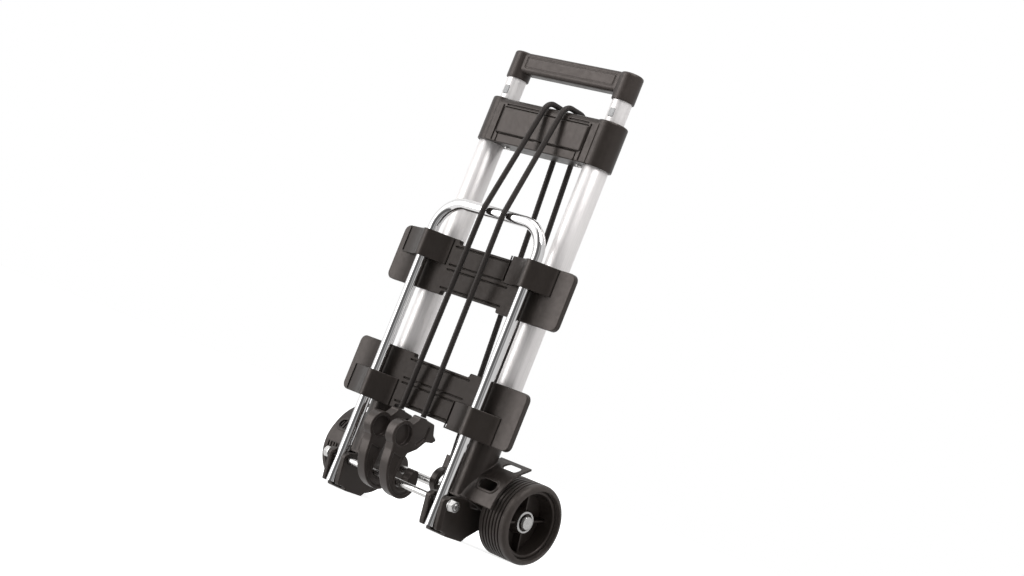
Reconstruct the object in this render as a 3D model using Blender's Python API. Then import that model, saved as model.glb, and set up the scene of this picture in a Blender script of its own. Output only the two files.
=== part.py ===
"""Folding luggage cart, folded and standing upright.

Units are metres and +Z is up.  The origin is on the ground, under the middle of
the cart.  X runs along the axle, -Y is the side that the toe platform folds down
to, and +Y is the side of the wheels.  Most shapes are written relative to the
centre of the pivot rod, which carries the toe platform.
"""

import math

import bmesh
import bpy
from mathutils import Vector

MM = 0.001
GAP = 0.3 * MM

# Driving dimensions.
TUBE_X = 84.7 * MM            # half the distance between the two telescopic tubes
TUBE_DY = 36.6 * MM           # tubes behind the pivot rod
OUTER_TUBE_R = 15.0 * MM
TUBE_WALL = 1.3 * MM
INNER_TUBE_R = 11.7 * MM
PIVOT_Z = 34.5 * MM           # pivot rod above the ground
PIVOT_ROD_R = 4.0 * MM
AXLE_DY = 77.9 * MM           # axle behind the pivot rod
AXLE_R = 5.0 * MM
WHEEL_R = 46.0 * MM
WHEEL_WIDTH = 45.0 * MM
WHEEL_OUTER_X = 158.0 * MM
LEG_X = TUBE_X                # legs of the chrome platform tube
PLATFORM_TUBE_R = 7.0 * MM
PLATFORM_TOP = 321.5 * MM     # centreline of its cross bar
PLATFORM_TAIL = 29.5 * MM     # its legs run on below the pivot rod
PLATE_HALF_WIDTH = 139.5 * MM
PLATE_HEIGHT = 67.2 * MM
PLATE_FRONT = 10.5 * MM
PLATE_BACK = 17.3 * MM
LOWER_PLATE_Z = 75.0 * MM
UPPER_PLATE_Z = 215.0 * MM
CROSSHEAD_Z = (406.0 * MM, 460.5 * MM)
GRIP_Z = (487.5 * MM, 521.0 * MM)
RING_FRONT = 35.5 * MM        # thumb discs of the hooks in front of the pivot rod

AXLE_DZ = WHEEL_R - PIVOT_Z
PIVOT_Y = -(AXLE_DY + WHEEL_R - RING_FRONT) / 2.0
GROUND = -PIVOT_Z

# Sizes that follow from them.
BRACKET_X = (69.5 * MM, 101.5 * MM)
SOCKET_R = 18.5 * MM
SOCKET_TOP = 80.0 * MM
CLEVIS_X = (LEG_X - 8.6 * MM, LEG_X + 8.6 * MM)
OUTER_TUBE_BOTTOM = 12.6 * MM
OUTER_TUBE_TOP = CROSSHEAD_Z[1] - 3.5 * MM
FENDER_R = 58.5 * MM
FENDER_X = (103.8 * MM, 140.5 * MM)
AXLE_HALF = WHEEL_OUTER_X - 12.5 * MM
CORD_R = 3.3 * MM
HOOK_THICKNESS = 13.0 * MM
HEAD_FRONT = TUBE_DY - 18.6 * MM
HEAD_BACK = TUBE_DY + 15.5 * MM
HEAD_EDGE = 9.0 * MM          # rounding of its top edges, where the cords bear
COVER_HALF = 68.0 * MM
COVER_Z = (418.0 * MM, 449.0 * MM)
SCREW_X = 58.0 * MM
HOOK_X = (-29.5 * MM, 8.3 * MM)
HOOK_TOP = 77.0 * MM
ANCHOR_TOP = 48.0 * MM
ANCHOR_X = (5.0 * MM, 33.0 * MM)

MATERIALS = {
    "black_plastic": ((0.045, 0.041, 0.039, 1.0), 0.45, 0.0),
    "tube_aluminium": ((0.80, 0.80, 0.81, 1.0), 0.32, 1.0),
    "chrome": ((0.86, 0.86, 0.87, 1.0), 0.07, 1.0),
    "steel": ((0.68, 0.67, 0.66, 1.0), 0.25, 1.0),
    "tyre_rubber": ((0.035, 0.032, 0.030, 1.0), 0.62, 0.0),
    "grey_plastic": ((0.42, 0.42, 0.42, 1.0), 0.45, 0.0),
    "cord_sheath": ((0.020, 0.019, 0.019, 1.0), 0.80, 0.0),
}

PLACE = {
    "X": lambda a, b, h: (h, a, b),
    "Y": lambda a, b, h: (a, h, b),
    "Z": lambda a, b, h: (a, b, h),
}


# ---------------------------------------------------------------- scene helpers

def clear_scene():
    for thing in list(bpy.data.objects):
        bpy.data.objects.remove(thing, do_unlink=True)


def material(object_name, kind):
    colour, roughness, metallic = MATERIALS[kind]
    made = bpy.data.materials.new(object_name + "_" + kind)
    made.use_nodes = True
    shader = made.node_tree.nodes["Principled BSDF"]
    shader.inputs["Base Color"].default_value = colour
    shader.inputs["Roughness"].default_value = roughness
    shader.inputs["Metallic"].default_value = metallic
    made.diffuse_color = colour
    return made


def empty(name, location):
    made = bpy.data.objects.new(name, None)
    made.empty_display_size = 0.03
    made.location = location
    bpy.context.collection.objects.link(made)
    return made


def add_object(name, mesh, kind, parent, smooth=True):
    if smooth:
        mesh.shade_smooth()
        mesh.set_sharp_from_angle(angle=math.radians(35.0))
    made = bpy.data.objects.new(name, mesh)
    mesh.materials.append(material(name, kind))
    made.parent = parent
    bpy.context.collection.objects.link(made)
    return made


def finish_mesh(bm, name):
    bmesh.ops.remove_doubles(bm, verts=bm.verts, dist=1e-7)
    bmesh.ops.recalc_face_normals(bm, faces=bm.faces)
    mesh = bpy.data.meshes.new(name)
    bm.to_mesh(mesh)
    bm.free()
    return mesh


def combine(target, tool_mesh, operation, parent):
    """Boolean the tool into the target, keeping the tool as a wire guide."""
    tool = bpy.data.objects.new(target.name + "_" + operation.lower(), tool_mesh)
    tool.parent = parent
    tool.hide_render = True
    tool.display_type = "WIRE"
    bpy.context.collection.objects.link(tool)
    step = target.modifiers.new(operation.title(), "BOOLEAN")
    step.operation = operation
    step.object = tool
    return tool


# --------------------------------------------------------------- outlines in 2D

def arc(centre, radius, start_deg, end_deg, steps):
    """Points along an arc, both ends included."""
    points = []
    for i in range(steps + 1):
        angle = math.radians(start_deg + (end_deg - start_deg) * i / steps)
        points.append((centre[0] + radius * math.cos(angle), centre[1] + radius * math.sin(angle)))
    return points


def circle(centre, radius, segments):
    return arc(centre, radius, 0.0, 360.0, segments)[:-1]


def rounded(corners, steps=3):
    """Turn corners given as (a, b, radius) into an outline with round corners."""
    points = []
    count = len(corners)
    for i, (a, b, radius) in enumerate(corners):
        here = Vector((a, b))
        if radius <= 0.0:
            points.append((a, b))
            continue
        before = (Vector(corners[i - 1][:2]) - here).normalized()
        after = (Vector(corners[(i + 1) % count][:2]) - here).normalized()
        half = before.angle(after) / 2.0
        middle = here + (before + after).normalized() * (radius / math.sin(half))
        start = here + before * (radius / math.tan(half)) - middle
        end = here + after * (radius / math.tan(half)) - middle
        sweep = start.angle_signed(end)
        for k in range(steps + 1):
            turn = -sweep * k / steps
            cos_t = math.cos(turn)
            sin_t = math.sin(turn)
            points.append((middle.x + start.x * cos_t - start.y * sin_t,
                           middle.y + start.x * sin_t + start.y * cos_t))
    return points


def box_outline(low, high, radius=0.0, steps=3):
    corners = [(low[0], low[1], radius), (high[0], low[1], radius),
               (high[0], high[1], radius), (low[0], high[1], radius)]
    return rounded(corners, steps)


def slot_outline(centre, half_length, radius, steps=6):
    """A slot with round ends, long along its first coordinate."""
    right = arc((centre[0] + half_length - radius, centre[1]), radius, -90.0, 90.0, steps)
    left = arc((centre[0] - half_length + radius, centre[1]), radius, 90.0, 270.0, steps)
    return right + left


# --------------------------------------------------------------- solids in bmesh

def add_prism(bm, outline, low, high, axis, holes=()):
    """Extrude an outline, with holes in it, from low to high along an axis."""
    place = PLACE[axis]
    edges = []
    for loop in [outline, *holes]:
        verts = [bm.verts.new(place(a, b, low)) for a, b in loop]
        for i, vert in enumerate(verts):
            edges.append(bm.edges.new((vert, verts[(i + 1) % len(verts)])))
    filled = bmesh.ops.triangle_fill(bm, edges=edges, use_beauty=True)
    faces = [item for item in filled["geom"] if isinstance(item, bmesh.types.BMFace)]
    raised = bmesh.ops.extrude_face_region(bm, geom=faces, use_keep_orig=True)
    moved = [item for item in raised["geom"] if isinstance(item, bmesh.types.BMVert)]
    bmesh.ops.translate(bm, verts=moved, vec=Vector(place(0.0, 0.0, high - low)))


def prism_mesh(name, outline, low, high, axis, holes=()):
    bm = bmesh.new()
    add_prism(bm, outline, low, high, axis, holes)
    return finish_mesh(bm, name)


def lathe_mesh(name, profile, segments, axis, centre=(0.0, 0.0)):
    """Turn a closed profile of (radius, height) points about an axis."""
    bm = bmesh.new()
    place = PLACE[axis]
    rings = []
    for radius, height in profile:
        if radius == 0.0:
            rings.append([bm.verts.new(place(centre[0], centre[1], height))] * segments)
            continue
        points = circle(centre, radius, segments)
        rings.append([bm.verts.new(place(a, b, height)) for a, b in points])
    for i, ring in enumerate(rings):
        following = rings[(i + 1) % len(rings)]
        for k in range(segments):
            n = (k + 1) % segments
            corners = list(dict.fromkeys([ring[k], ring[n], following[n], following[k]]))
            if len(corners) > 2:
                bm.faces.new(corners)
    return finish_mesh(bm, name)


def tube_mesh(name, outer, inner, low, high, centre, segments=24):
    """A straight open tube along Z."""
    profile = [(outer, low), (outer, high), (inner, high), (inner, low)]
    return lathe_mesh(name, profile, segments, "Z", centre)


def swept_tube_mesh(name, path, outer, inner, segments=14):
    """An open tube along a path that lies in a plane of constant Y."""
    bm = bmesh.new()
    shells = []
    for radius in (outer, inner):
        rings = []
        for i, point in enumerate(path):
            before = path[max(i - 1, 0)]
            after = path[min(i + 1, len(path) - 1)]
            along = (Vector(after) - Vector(before)).normalized()
            side = Vector((along.y, -along.x))
            ring = []
            for k in range(segments):
                angle = 2.0 * math.pi * k / segments
                offset = side * (radius * math.cos(angle))
                ring.append(bm.verts.new((point[0] + offset.x, radius * math.sin(angle),
                                          point[1] + offset.y)))
            rings.append(ring)
        shells.append(rings)
    for rings in shells:
        for ring, following in zip(rings, rings[1:]):
            for k in range(segments):
                n = (k + 1) % segments
                bm.faces.new((ring[k], ring[n], following[n], following[k]))
    for end in (0, -1):
        for k in range(segments):
            n = (k + 1) % segments
            bm.faces.new((shells[0][end][k], shells[0][end][n], shells[1][end][n], shells[1][end][k]))
    return finish_mesh(bm, name)


# ----------------------------------------------------------------- frame pieces

def side_name(side):
    return "right" if side > 0 else "left"


def mirrored(low, high, side):
    """The span from low to high on the right, or its mirror image on the left."""
    return (low, high) if side > 0 else (-high, -low)


def make_outer_tube(side, parent):
    name = "outer_tube_" + side_name(side)
    mesh = tube_mesh(name, OUTER_TUBE_R, OUTER_TUBE_R - TUBE_WALL, OUTER_TUBE_BOTTOM,
                     OUTER_TUBE_TOP, (side * TUBE_X, TUBE_DY))
    add_object(name, mesh, "tube_aluminium", parent)


def make_guide_bush(side, parent):
    """The plastic bush in the mouth of an outer tube, which guides the inner tube."""
    name = "guide_bush_" + side_name(side)
    mesh = tube_mesh(name, OUTER_TUBE_R - TUBE_WALL - GAP, INNER_TUBE_R + GAP,
                     OUTER_TUBE_TOP - 25.0 * MM, OUTER_TUBE_TOP, (side * TUBE_X, TUBE_DY))
    add_object(name, mesh, "grey_plastic", parent)


def make_bracket(side, parent):
    """Foot, clevis for the platform leg, socket for the tube and boss for the axle."""
    name = "bracket_" + side_name(side)
    axle = (AXLE_DY, AXLE_DZ)
    outline = [(2.0 * MM, GROUND), (38.0 * MM, GROUND), (43.0 * MM, -28.5 * MM),
               (57.0 * MM, -17.0 * MM)]
    outline += arc(axle, 16.0 * MM, -75.0, 90.0, 10)
    outline += [(34.0 * MM, 40.0 * MM), (24.0 * MM, 34.0 * MM), (19.0 * MM, 13.0 * MM),
                (15.0 * MM, 11.0 * MM), (-3.0 * MM, 8.0 * MM), (-9.5 * MM, 3.0 * MM),
                (-4.0 * MM, -27.0 * MM), (-1.5 * MM, -33.0 * MM)]
    low, high = mirrored(*BRACKET_X, side)
    body = add_object(name, prism_mesh(name, outline, low, high, "X"), "black_plastic", parent)

    socket = lathe_mesh(name + "_socket", [(0.0, 5.0 * MM), (SOCKET_R, 5.0 * MM),
                                           (SOCKET_R, SOCKET_TOP), (0.0, SOCKET_TOP)],
                        28, "Z", (side * TUBE_X, TUBE_DY))
    combine(body, socket, "UNION", parent)

    cut = bmesh.new()
    clevis_low, clevis_high = mirrored(*CLEVIS_X, side)
    swing = 33.5 * MM
    clevis = [
        (-20.0 * MM, -32.0 * MM),
        (swing, -32.0 * MM),
        (swing, 10.2 * MM),
        (18.0 * MM, 10.2 * MM),
        (18.0 * MM, 25.0 * MM),
        (-20.0 * MM, 25.0 * MM),
    ]
    add_prism(cut, clevis, clevis_low, clevis_high, "X")
    combine(body, finish_mesh(cut, name + "_clevis"), "DIFFERENCE", parent)

    bore = lathe_mesh(name + "_bore", [(0.0, OUTER_TUBE_BOTTOM - GAP),
                                       (OUTER_TUBE_R + GAP, OUTER_TUBE_BOTTOM - GAP),
                                       (OUTER_TUBE_R + GAP, SOCKET_TOP + 5.0 * MM),
                                       (0.0, SOCKET_TOP + 5.0 * MM)],
                      24, "Z", (side * TUBE_X, TUBE_DY))
    combine(body, bore, "DIFFERENCE", parent)

    holes_low = BRACKET_X[0] - 8.0 * MM
    holes_high = BRACKET_X[1] + 8.0 * MM
    for label, centre, radius in (("pin", (0.0, 0.0), PIVOT_ROD_R), ("axle", axle, AXLE_R)):
        span = mirrored(holes_low, holes_high, side)
        hole = prism_mesh(name + label, circle(centre, radius + GAP, 16), span[0], span[1], "X")
        combine(body, hole, "DIFFERENCE", parent)


SLOTS = ((119.5 * MM, 35.5 * MM, 13.0 * MM, 5.4 * MM), (122.0 * MM, 61.2 * MM, 11.5 * MM, 3.2 * MM))


def make_fender(side, parent):
    """Mudguard over the front of a wheel, with slots and a flared tab on top."""
    name = "fender_" + side_name(side)
    axle = (AXLE_DY, AXLE_DZ)
    thickness = 2.5 * MM
    top_deg = 122.0
    tab = 14.0 * MM
    outer = arc(axle, FENDER_R, 180.0, top_deg, 9)
    inner = arc(axle, FENDER_R - thickness, top_deg, 180.0, 9)
    lean = math.radians(top_deg - 90.0)
    reach = (tab * math.cos(lean), tab * math.sin(lean))
    tip = [(outer[-1][0] + reach[0], outer[-1][1] + reach[1]),
           (inner[0][0] + reach[0], inner[0][1] + reach[1])]
    low, high = mirrored(*FENDER_X, side)
    shell = add_object(name, prism_mesh(name, outer + tip + inner, low, high, "X"),
                       "black_plastic", parent)

    web_low, web_high = mirrored(FENDER_X[0], FENDER_X[0] + thickness, side)
    web = arc(axle, FENDER_R - 1.0 * MM, 180.0, top_deg, 9)
    web += [(66.0 * MM, 32.0 * MM)]
    web += arc(axle, 13.0 * MM, 60.0, -120.0, 6)
    web += [(30.0 * MM, 10.0 * MM)]
    hole = circle(axle, AXLE_R + GAP, 16)
    combine(shell, prism_mesh(name + "_web", web, web_low, web_high, "X", [hole]), "UNION", parent)

    cut = bmesh.new()
    reach_out = 40.0 * MM
    for x, z, half_length, radius in SLOTS:
        slot = slot_outline((side * x, z), half_length, radius)
        add_prism(cut, slot, AXLE_DY - FENDER_R - 5.0 * MM, AXLE_DY - FENDER_R + reach_out, "Y")
    combine(shell, finish_mesh(cut, name + "_slots"), "DIFFERENCE", parent)


def make_rods(parent):
    """The platform's pivot rod and the wheels' axle, both right across the cart."""
    rod_half = BRACKET_X[1] + 10.0 * MM
    chamfer = 0.8 * MM
    profile = [(0.0, -rod_half), (PIVOT_ROD_R - chamfer, -rod_half),
               (PIVOT_ROD_R, -rod_half + chamfer), (PIVOT_ROD_R, rod_half - chamfer),
               (PIVOT_ROD_R - chamfer, rod_half), (0.0, rod_half)]
    add_object("pivot_rod", lathe_mesh("pivot_rod", profile, 16, "X"), "steel", parent)

    profile = [(0.0, -AXLE_HALF), (AXLE_R, -AXLE_HALF), (AXLE_R, AXLE_HALF), (0.0, AXLE_HALF)]
    mesh = lathe_mesh("axle", profile, 16, "X", (AXLE_DY, AXLE_DZ))
    add_object("axle", mesh, "steel", parent)


def make_pivot_nut(side, parent):
    name = "pivot_nut_" + side_name(side)
    low, high = mirrored(BRACKET_X[1] + GAP, BRACKET_X[1] + 9.0 * MM, side)
    mesh = prism_mesh(name, circle((0.0, 0.0), 7.4 * MM, 6), low, high, "X",
                      [circle((0.0, 0.0), PIVOT_ROD_R + GAP, 16)])
    add_object(name, mesh, "steel", parent, smooth=False)


# ------------------------------------------------------------------- crosshead

def make_crosshead(parent):
    """The moulding that joins the tubes at the top, with a recess for its cover."""
    low, high = CROSSHEAD_Z
    outline = rounded([
        (HEAD_FRONT, low, 1.5 * MM), (HEAD_BACK, low, 1.5 * MM),
        (HEAD_BACK, high, HEAD_EDGE), (HEAD_FRONT, high, HEAD_EDGE),
    ], 5)
    span = TUBE_X - 4.0 * MM
    head = add_object("crosshead", prism_mesh("crosshead", outline, -span, span, "X"),
                      "black_plastic", parent)
    for x in (-TUBE_X, TUBE_X):
        profile = [(0.0, low), (17.2 * MM, low), (18.2 * MM, low + 1.0 * MM),
                   (18.2 * MM, high - 2.0 * MM), (16.2 * MM, high), (0.0, high)]
        boss = lathe_mesh("crosshead_boss", profile, 32, "Z", (x, TUBE_DY))
        combine(head, boss, "UNION", parent)
    cut = bmesh.new()
    for x in (-TUBE_X, TUBE_X):
        add_prism(cut, circle((x, TUBE_DY), OUTER_TUBE_R + GAP, 24), low - 5.0 * MM,
                  OUTER_TUBE_TOP + GAP, "Z")
    recess = box_outline((-COVER_HALF - GAP, COVER_Z[0] - GAP), (COVER_HALF + GAP, COVER_Z[1] + GAP),
                         2.0 * MM)
    add_prism(cut, recess, HEAD_FRONT - 5.0 * MM, HEAD_FRONT + 2.0 * MM, "Y")
    for side in (-1, 1):
        well = circle((side * SCREW_X, TUBE_DY), 1.5 * MM + GAP, 10)
        add_prism(cut, well, low - 5.0 * MM, low + 12.0 * MM + GAP, "Z")
    combine(head, finish_mesh(cut, "crosshead_cuts"), "DIFFERENCE", parent)
    mouths = bmesh.new()
    for x in (-TUBE_X, TUBE_X):
        add_prism(mouths, circle((x, TUBE_DY), INNER_TUBE_R + 0.6 * MM, 24), high - 10.0 * MM,
                  high + 5.0 * MM, "Z")
    combine(head, finish_mesh(mouths, "crosshead_mouths"), "DIFFERENCE", parent)

    cover = box_outline((-COVER_HALF, COVER_Z[0]), (COVER_HALF, COVER_Z[1]), 1.8 * MM)
    mesh = prism_mesh("crosshead_cover", cover, HEAD_FRONT - 0.6 * MM, HEAD_FRONT + 2.0 * MM - GAP, "Y")
    add_object("crosshead_cover", mesh, "black_plastic", parent)


def make_crosshead_screw(side, parent):
    name = "crosshead_screw_" + side_name(side)
    low = CROSSHEAD_Z[0]
    head_r = 3.6 * MM
    shank_r = 1.5 * MM
    profile = [(0.0, low - 2.6 * MM), (head_r - 1.2 * MM, low - 2.6 * MM), (head_r, low - 1.0 * MM),
               (head_r, low - GAP), (shank_r, low - GAP), (shank_r, low + 12.0 * MM),
               (0.0, low + 12.0 * MM)]
    mesh = lathe_mesh(name, profile, 12, "Z", (side * SCREW_X, TUBE_DY))
    add_object(name, mesh, "steel", parent)


# ------------------------------------------------------------ telescopic handle

INNER_TUBE_Z = (27.0 * MM, 516.0 * MM)
BUTTON_Z = 471.5 * MM
BUTTON_HALF = (3.6 * MM, 5.0 * MM)


def make_inner_tube(side, parent):
    name = "inner_tube_" + side_name(side)
    mesh = tube_mesh(name, INNER_TUBE_R, INNER_TUBE_R - TUBE_WALL, *INNER_TUBE_Z,
                     (side * TUBE_X, 0.0))
    tube = add_object(name, mesh, "tube_aluminium", parent)
    margin = 0.4 * MM
    window = box_outline(
        (side * TUBE_X - BUTTON_HALF[0] - margin, BUTTON_Z - BUTTON_HALF[1] - margin),
        (side * TUBE_X + BUTTON_HALF[0] + margin, BUTTON_Z + BUTTON_HALF[1] + margin), 1.2 * MM)
    cutter = prism_mesh(name + "_window", window, -INNER_TUBE_R - 3.0 * MM, -5.0 * MM, "Y")
    combine(tube, cutter, "DIFFERENCE", parent)


def make_tube_foot(side, parent):
    """The plastic slider on the lower end of an inner tube."""
    name = "tube_foot_" + side_name(side)
    low = INNER_TUBE_Z[0]
    outer = OUTER_TUBE_R - TUBE_WALL - GAP
    plug = INNER_TUBE_R - TUBE_WALL - GAP
    profile = [(0.0, low - 4.0 * MM), (outer - 1.0 * MM, low - 4.0 * MM), (outer, low - 3.0 * MM),
               (outer, low - GAP), (plug, low - GAP), (plug, low + 12.0 * MM),
               (0.0, low + 12.0 * MM)]
    mesh = lathe_mesh(name, profile, 20, "Z", (side * TUBE_X, 0.0))
    add_object(name, mesh, "grey_plastic", parent)


def make_grip(parent):
    """The carrying handle: a bar between two bosses that cap the inner tubes."""
    low, high = GRIP_Z
    boss_r = 13.8 * MM
    half_depth = 10.5 * MM
    bar_bottom = 495.5 * MM
    inner_x = TUBE_X - math.sqrt(boss_r * boss_r - half_depth * half_depth)
    bar = rounded([(-half_depth, bar_bottom, 4.5 * MM), (half_depth, bar_bottom, 4.5 * MM),
                   (half_depth, high, 4.5 * MM), (-half_depth, high, 4.5 * MM)], 4)
    grip = add_object("grip", prism_mesh("grip", bar, -inner_x, inner_x, "X"),
                      "black_plastic", parent)
    bosses = []
    for side in (-1, 1):
        edge = 2.5 * MM
        profile = [(0.0, low), (boss_r, low), (boss_r, high - edge)]
        profile += [(boss_r - edge + a, high - edge + b) for a, b in arc((0.0, 0.0), edge, 30.0, 90.0, 2)]
        profile += [(0.0, high)]
        mesh = lathe_mesh("grip_boss", profile, 24, "Z", (side * TUBE_X, 0.0))
        combine(grip, mesh, "UNION", parent)
        bore = lathe_mesh("grip_bore", [(0.0, low - 5.0 * MM), (INNER_TUBE_R + GAP, low - 5.0 * MM),
                                        (INNER_TUBE_R + GAP, INNER_TUBE_Z[1] + GAP),
                                        (0.0, INNER_TUBE_Z[1] + GAP)],
                          24, "Z", (side * TUBE_X, 0.0))
        bosses.append(bore)
    for bore in bosses:
        combine(grip, bore, "DIFFERENCE", parent)


def make_lock_button(side, parent):
    """The spring button that pops out of the inner tube and locks the handle."""
    name = "lock_button_" + side_name(side)
    outline = box_outline((-BUTTON_HALF[0], -BUTTON_HALF[1]), BUTTON_HALF, 1.0 * MM)
    mesh = prism_mesh(name, outline, -0.9 * MM, 5.0 * MM, "Y")
    button = add_object(name, mesh, "grey_plastic", parent)
    button.location = (side * TUBE_X, -INNER_TUBE_R, BUTTON_Z)


# ---------------------------------------------------------------- toe platform

def make_platform_tube(parent):
    """The chrome tube: two legs and a cross bar, open at the lower ends."""
    bend = 36.0 * MM
    right = [(LEG_X, -PLATFORM_TAIL)]
    right += arc((LEG_X - bend, PLATFORM_TOP - bend), bend, 0.0, 90.0, 8)
    left = [(-x, z) for x, z in reversed(right)]
    tube = add_object("platform_tube",
                      swept_tube_mesh("platform_tube", right + left, PLATFORM_TUBE_R,
                                      PLATFORM_TUBE_R - 1.0 * MM), "chrome", parent)
    half = LEG_X + 15.0 * MM
    hole = lathe_mesh("platform_tube_pin", [(0.0, -half), (PIVOT_ROD_R + GAP, -half),
                                            (PIVOT_ROD_R + GAP, half), (0.0, half)], 16, "X")
    combine(tube, hole, "DIFFERENCE", parent)


def make_plate(name, base, parent):
    """A moulded load plate behind the platform tube; its middle is a little lower."""
    middle = 42.0 * MM
    inset = 5.0 * MM
    half = PLATE_HALF_WIDTH
    top = base + PLATE_HEIGHT
    corner = 8.0 * MM
    step = 2.0 * MM
    outline = rounded([
        (-half, base, corner), (-middle, base, step), (-middle, base + inset, step),
        (middle, base + inset, step), (middle, base, step), (half, base, corner),
        (half, top, corner), (middle, top, step), (middle, top - inset, step),
        (-middle, top - inset, step), (-middle, top, step), (-half, top, corner),
    ])
    plate = add_object(name, prism_mesh(name, outline, PLATE_FRONT, PLATE_BACK, "Y"),
                       "black_plastic", parent)
    cut = bmesh.new()
    halfway = base + PLATE_HEIGHT / 2.0
    wall = 5.5 * MM
    for low, high in ((base + inset + wall, halfway - 2.0 * MM),
                      (halfway + 2.0 * MM, top - inset - wall)):
        for x in (-1, 0, 1):
            pane = box_outline((x * 27.0 * MM - 12.0 * MM, low), (x * 27.0 * MM + 12.0 * MM, high),
                               1.5 * MM)
            add_prism(cut, pane, PLATE_FRONT - 2.0 * MM, PLATE_FRONT + 2.0 * MM, "Y")
    combine(plate, finish_mesh(cut, name + "_panes"), "DIFFERENCE", parent)
    return plate


def make_tube_clip(name, leg_x, low, high, parent):
    """A strap moulding that holds a leg of the platform tube against a plate."""
    over = PLATFORM_TUBE_R + 3.0 * MM
    seat = PLATE_FRONT - GAP
    clear = PLATFORM_TUBE_R + GAP
    outline = [(leg_x - 45.0 * MM, seat), (leg_x - 45.0 * MM, 7.5 * MM), (leg_x - 30.0 * MM, 5.0 * MM),
               (leg_x - 14.0 * MM, 0.0)]
    outline += arc((leg_x, 0.0), over, 215.0, 320.0, 8)
    outline += [(leg_x + 16.0 * MM, 2.5 * MM), (leg_x + 30.0 * MM, 8.0 * MM), (leg_x + 30.0 * MM, seat)]
    outline += [(leg_x + clear, seat), (leg_x + clear, 0.0)]
    outline += arc((leg_x, 0.0), clear, 0.0, -180.0, 10)[1:]
    outline += [(leg_x - clear, seat)]
    add_object(name, prism_mesh(name, outline, low, high, "Z"), "black_plastic", parent)


# -------------------------------------------------------------- cords and hooks

def make_hook(name, centre_x, parent):
    """A moulded hook: dished thumb disc, socket for the cord, spine and open jaw."""
    ring = (-19.0 * MM, 51.0 * MM)
    jaw = (8.5 * MM, 3.2 * MM)
    throat = (4.2 * MM, 4.8 * MM)
    outline = arc(ring, 16.5 * MM, 62.0, 232.0, 12)
    outline += [(-27.5 * MM, 30.0 * MM), (-24.5 * MM, 13.0 * MM), (-17.5 * MM, -3.0 * MM)]
    outline += arc(jaw, 21.0 * MM, 212.0, 385.0, 12)
    outline += arc((22.0 * MM, 13.5 * MM), 5.2 * MM, 40.0, 190.0, 4)
    outline += arc(throat, 10.6 * MM, 15.0, -190.0, 12)
    outline += rounded([
        (-5.0 * MM, 22.0 * MM, 0.0),
        (-3.0 * MM, 33.0 * MM, 3.0 * MM),
        (9.0 * MM, 41.0 * MM, 3.0 * MM),
        (18.0 * MM, 52.0 * MM, 3.0 * MM),
        (28.0 * MM, 53.5 * MM, 1.0 * MM),
        (33.0 * MM, 58.0 * MM, 1.5 * MM),
        (26.0 * MM, 62.0 * MM, 3.0 * MM),
        (21.0 * MM, 74.0 * MM, 3.0 * MM),
        (-4.0 * MM, 77.5 * MM, 4.0 * MM),
    ])
    half = HOOK_THICKNESS / 2.0
    web_half = 1.0 * MM
    beyond = 3.0 * MM
    hook = add_object(name, prism_mesh(name, outline, centre_x - half, centre_x + half, "X"),
                      "black_plastic", parent)
    cut = bmesh.new()
    for side in (-1, 1):
        low, high = mirrored(web_half, half + beyond, side)
        add_prism(cut, circle(ring, 12.4 * MM, 20), centre_x + low, centre_x + high, "X")
    combine(hook, finish_mesh(cut, name + "_recesses"), "DIFFERENCE", parent)


def make_cord_anchor(name, centre_x, parent):
    """The moulded eye that ends a cord on the axle, with the cord's sleeve on top."""
    eye_r = 10.5 * MM
    centre = (AXLE_DY, AXLE_DZ + eye_r - AXLE_R - GAP)
    outer_r = 17.0 * MM
    neck = 5.5 * MM
    neck_deg = math.degrees(math.asin(neck / outer_r))
    outline = arc(centre, outer_r, 90.0 + neck_deg, 450.0 - neck_deg, 26)
    outline += [(centre[0] + neck, ANCHOR_TOP), (centre[0] - neck, ANCHOR_TOP)]
    half = 4.5 * MM
    mesh = prism_mesh(name, outline, centre_x - half, centre_x + half, "X",
                      [circle(centre, eye_r, 20)])
    add_object(name, mesh, "black_plastic", parent)


def evenly_spaced(route, spacing):
    """Points a fixed distance apart along a route, both of its ends included."""
    lengths = [(b - a).length for a, b in zip(route, route[1:])]
    count = round(sum(lengths) / spacing)
    step = sum(lengths) / count
    points = [route[0]]
    walked = 0.0
    for a, b, length in zip(route, route[1:], lengths):
        while len(points) < count and len(points) * step <= walked + length:
            points.append(a.lerp(b, (len(points) * step - walked) / length))
        walked += length
    points.append(route[-1])
    return points


def make_cord(name, hook_x, bar_x, head_x, anchor_x, parent):
    """A taut elastic cord from its hook, over cross bar and crosshead, to its anchor."""
    bend = HEAD_EDGE + CORD_R + 1.6 * MM
    edge_z = CROSSHEAD_Z[1] - HEAD_EDGE
    front_bend = arc((HEAD_FRONT + HEAD_EDGE, edge_z), bend, 169.0, 90.0, 8)
    back_bend = arc((HEAD_BACK - HEAD_EDGE, edge_z), bend, 90.0, 5.0, 8)
    bar_y = -PLATFORM_TUBE_R - CORD_R - 1.3 * MM
    route = [Vector((hook_x, 5.5 * MM, HOOK_TOP + 0.9 * MM)), Vector((bar_x, bar_y, PLATFORM_TOP))]
    route += [Vector((head_x, y, z)) for y, z in front_bend + back_bend]
    route.append(Vector((anchor_x, AXLE_DY, ANCHOR_TOP + GAP)))
    curve = bpy.data.curves.new(name, "CURVE")
    curve.dimensions = "3D"
    curve.bevel_depth = CORD_R
    curve.bevel_resolution = 2
    curve.use_fill_caps = True
    points = evenly_spaced(route, 11.0 * MM)
    spline = curve.splines.new("POLY")
    spline.points.add(len(points) - 1)
    for slot, point in zip(spline.points, points):
        slot.co = (*point, 1.0)
    curve.materials.append(material(name, "cord_sheath"))
    cord = bpy.data.objects.new(name, curve)
    cord.parent = parent
    bpy.context.collection.objects.link(cord)


# --------------------------------------------------------------------- wheels

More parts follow.
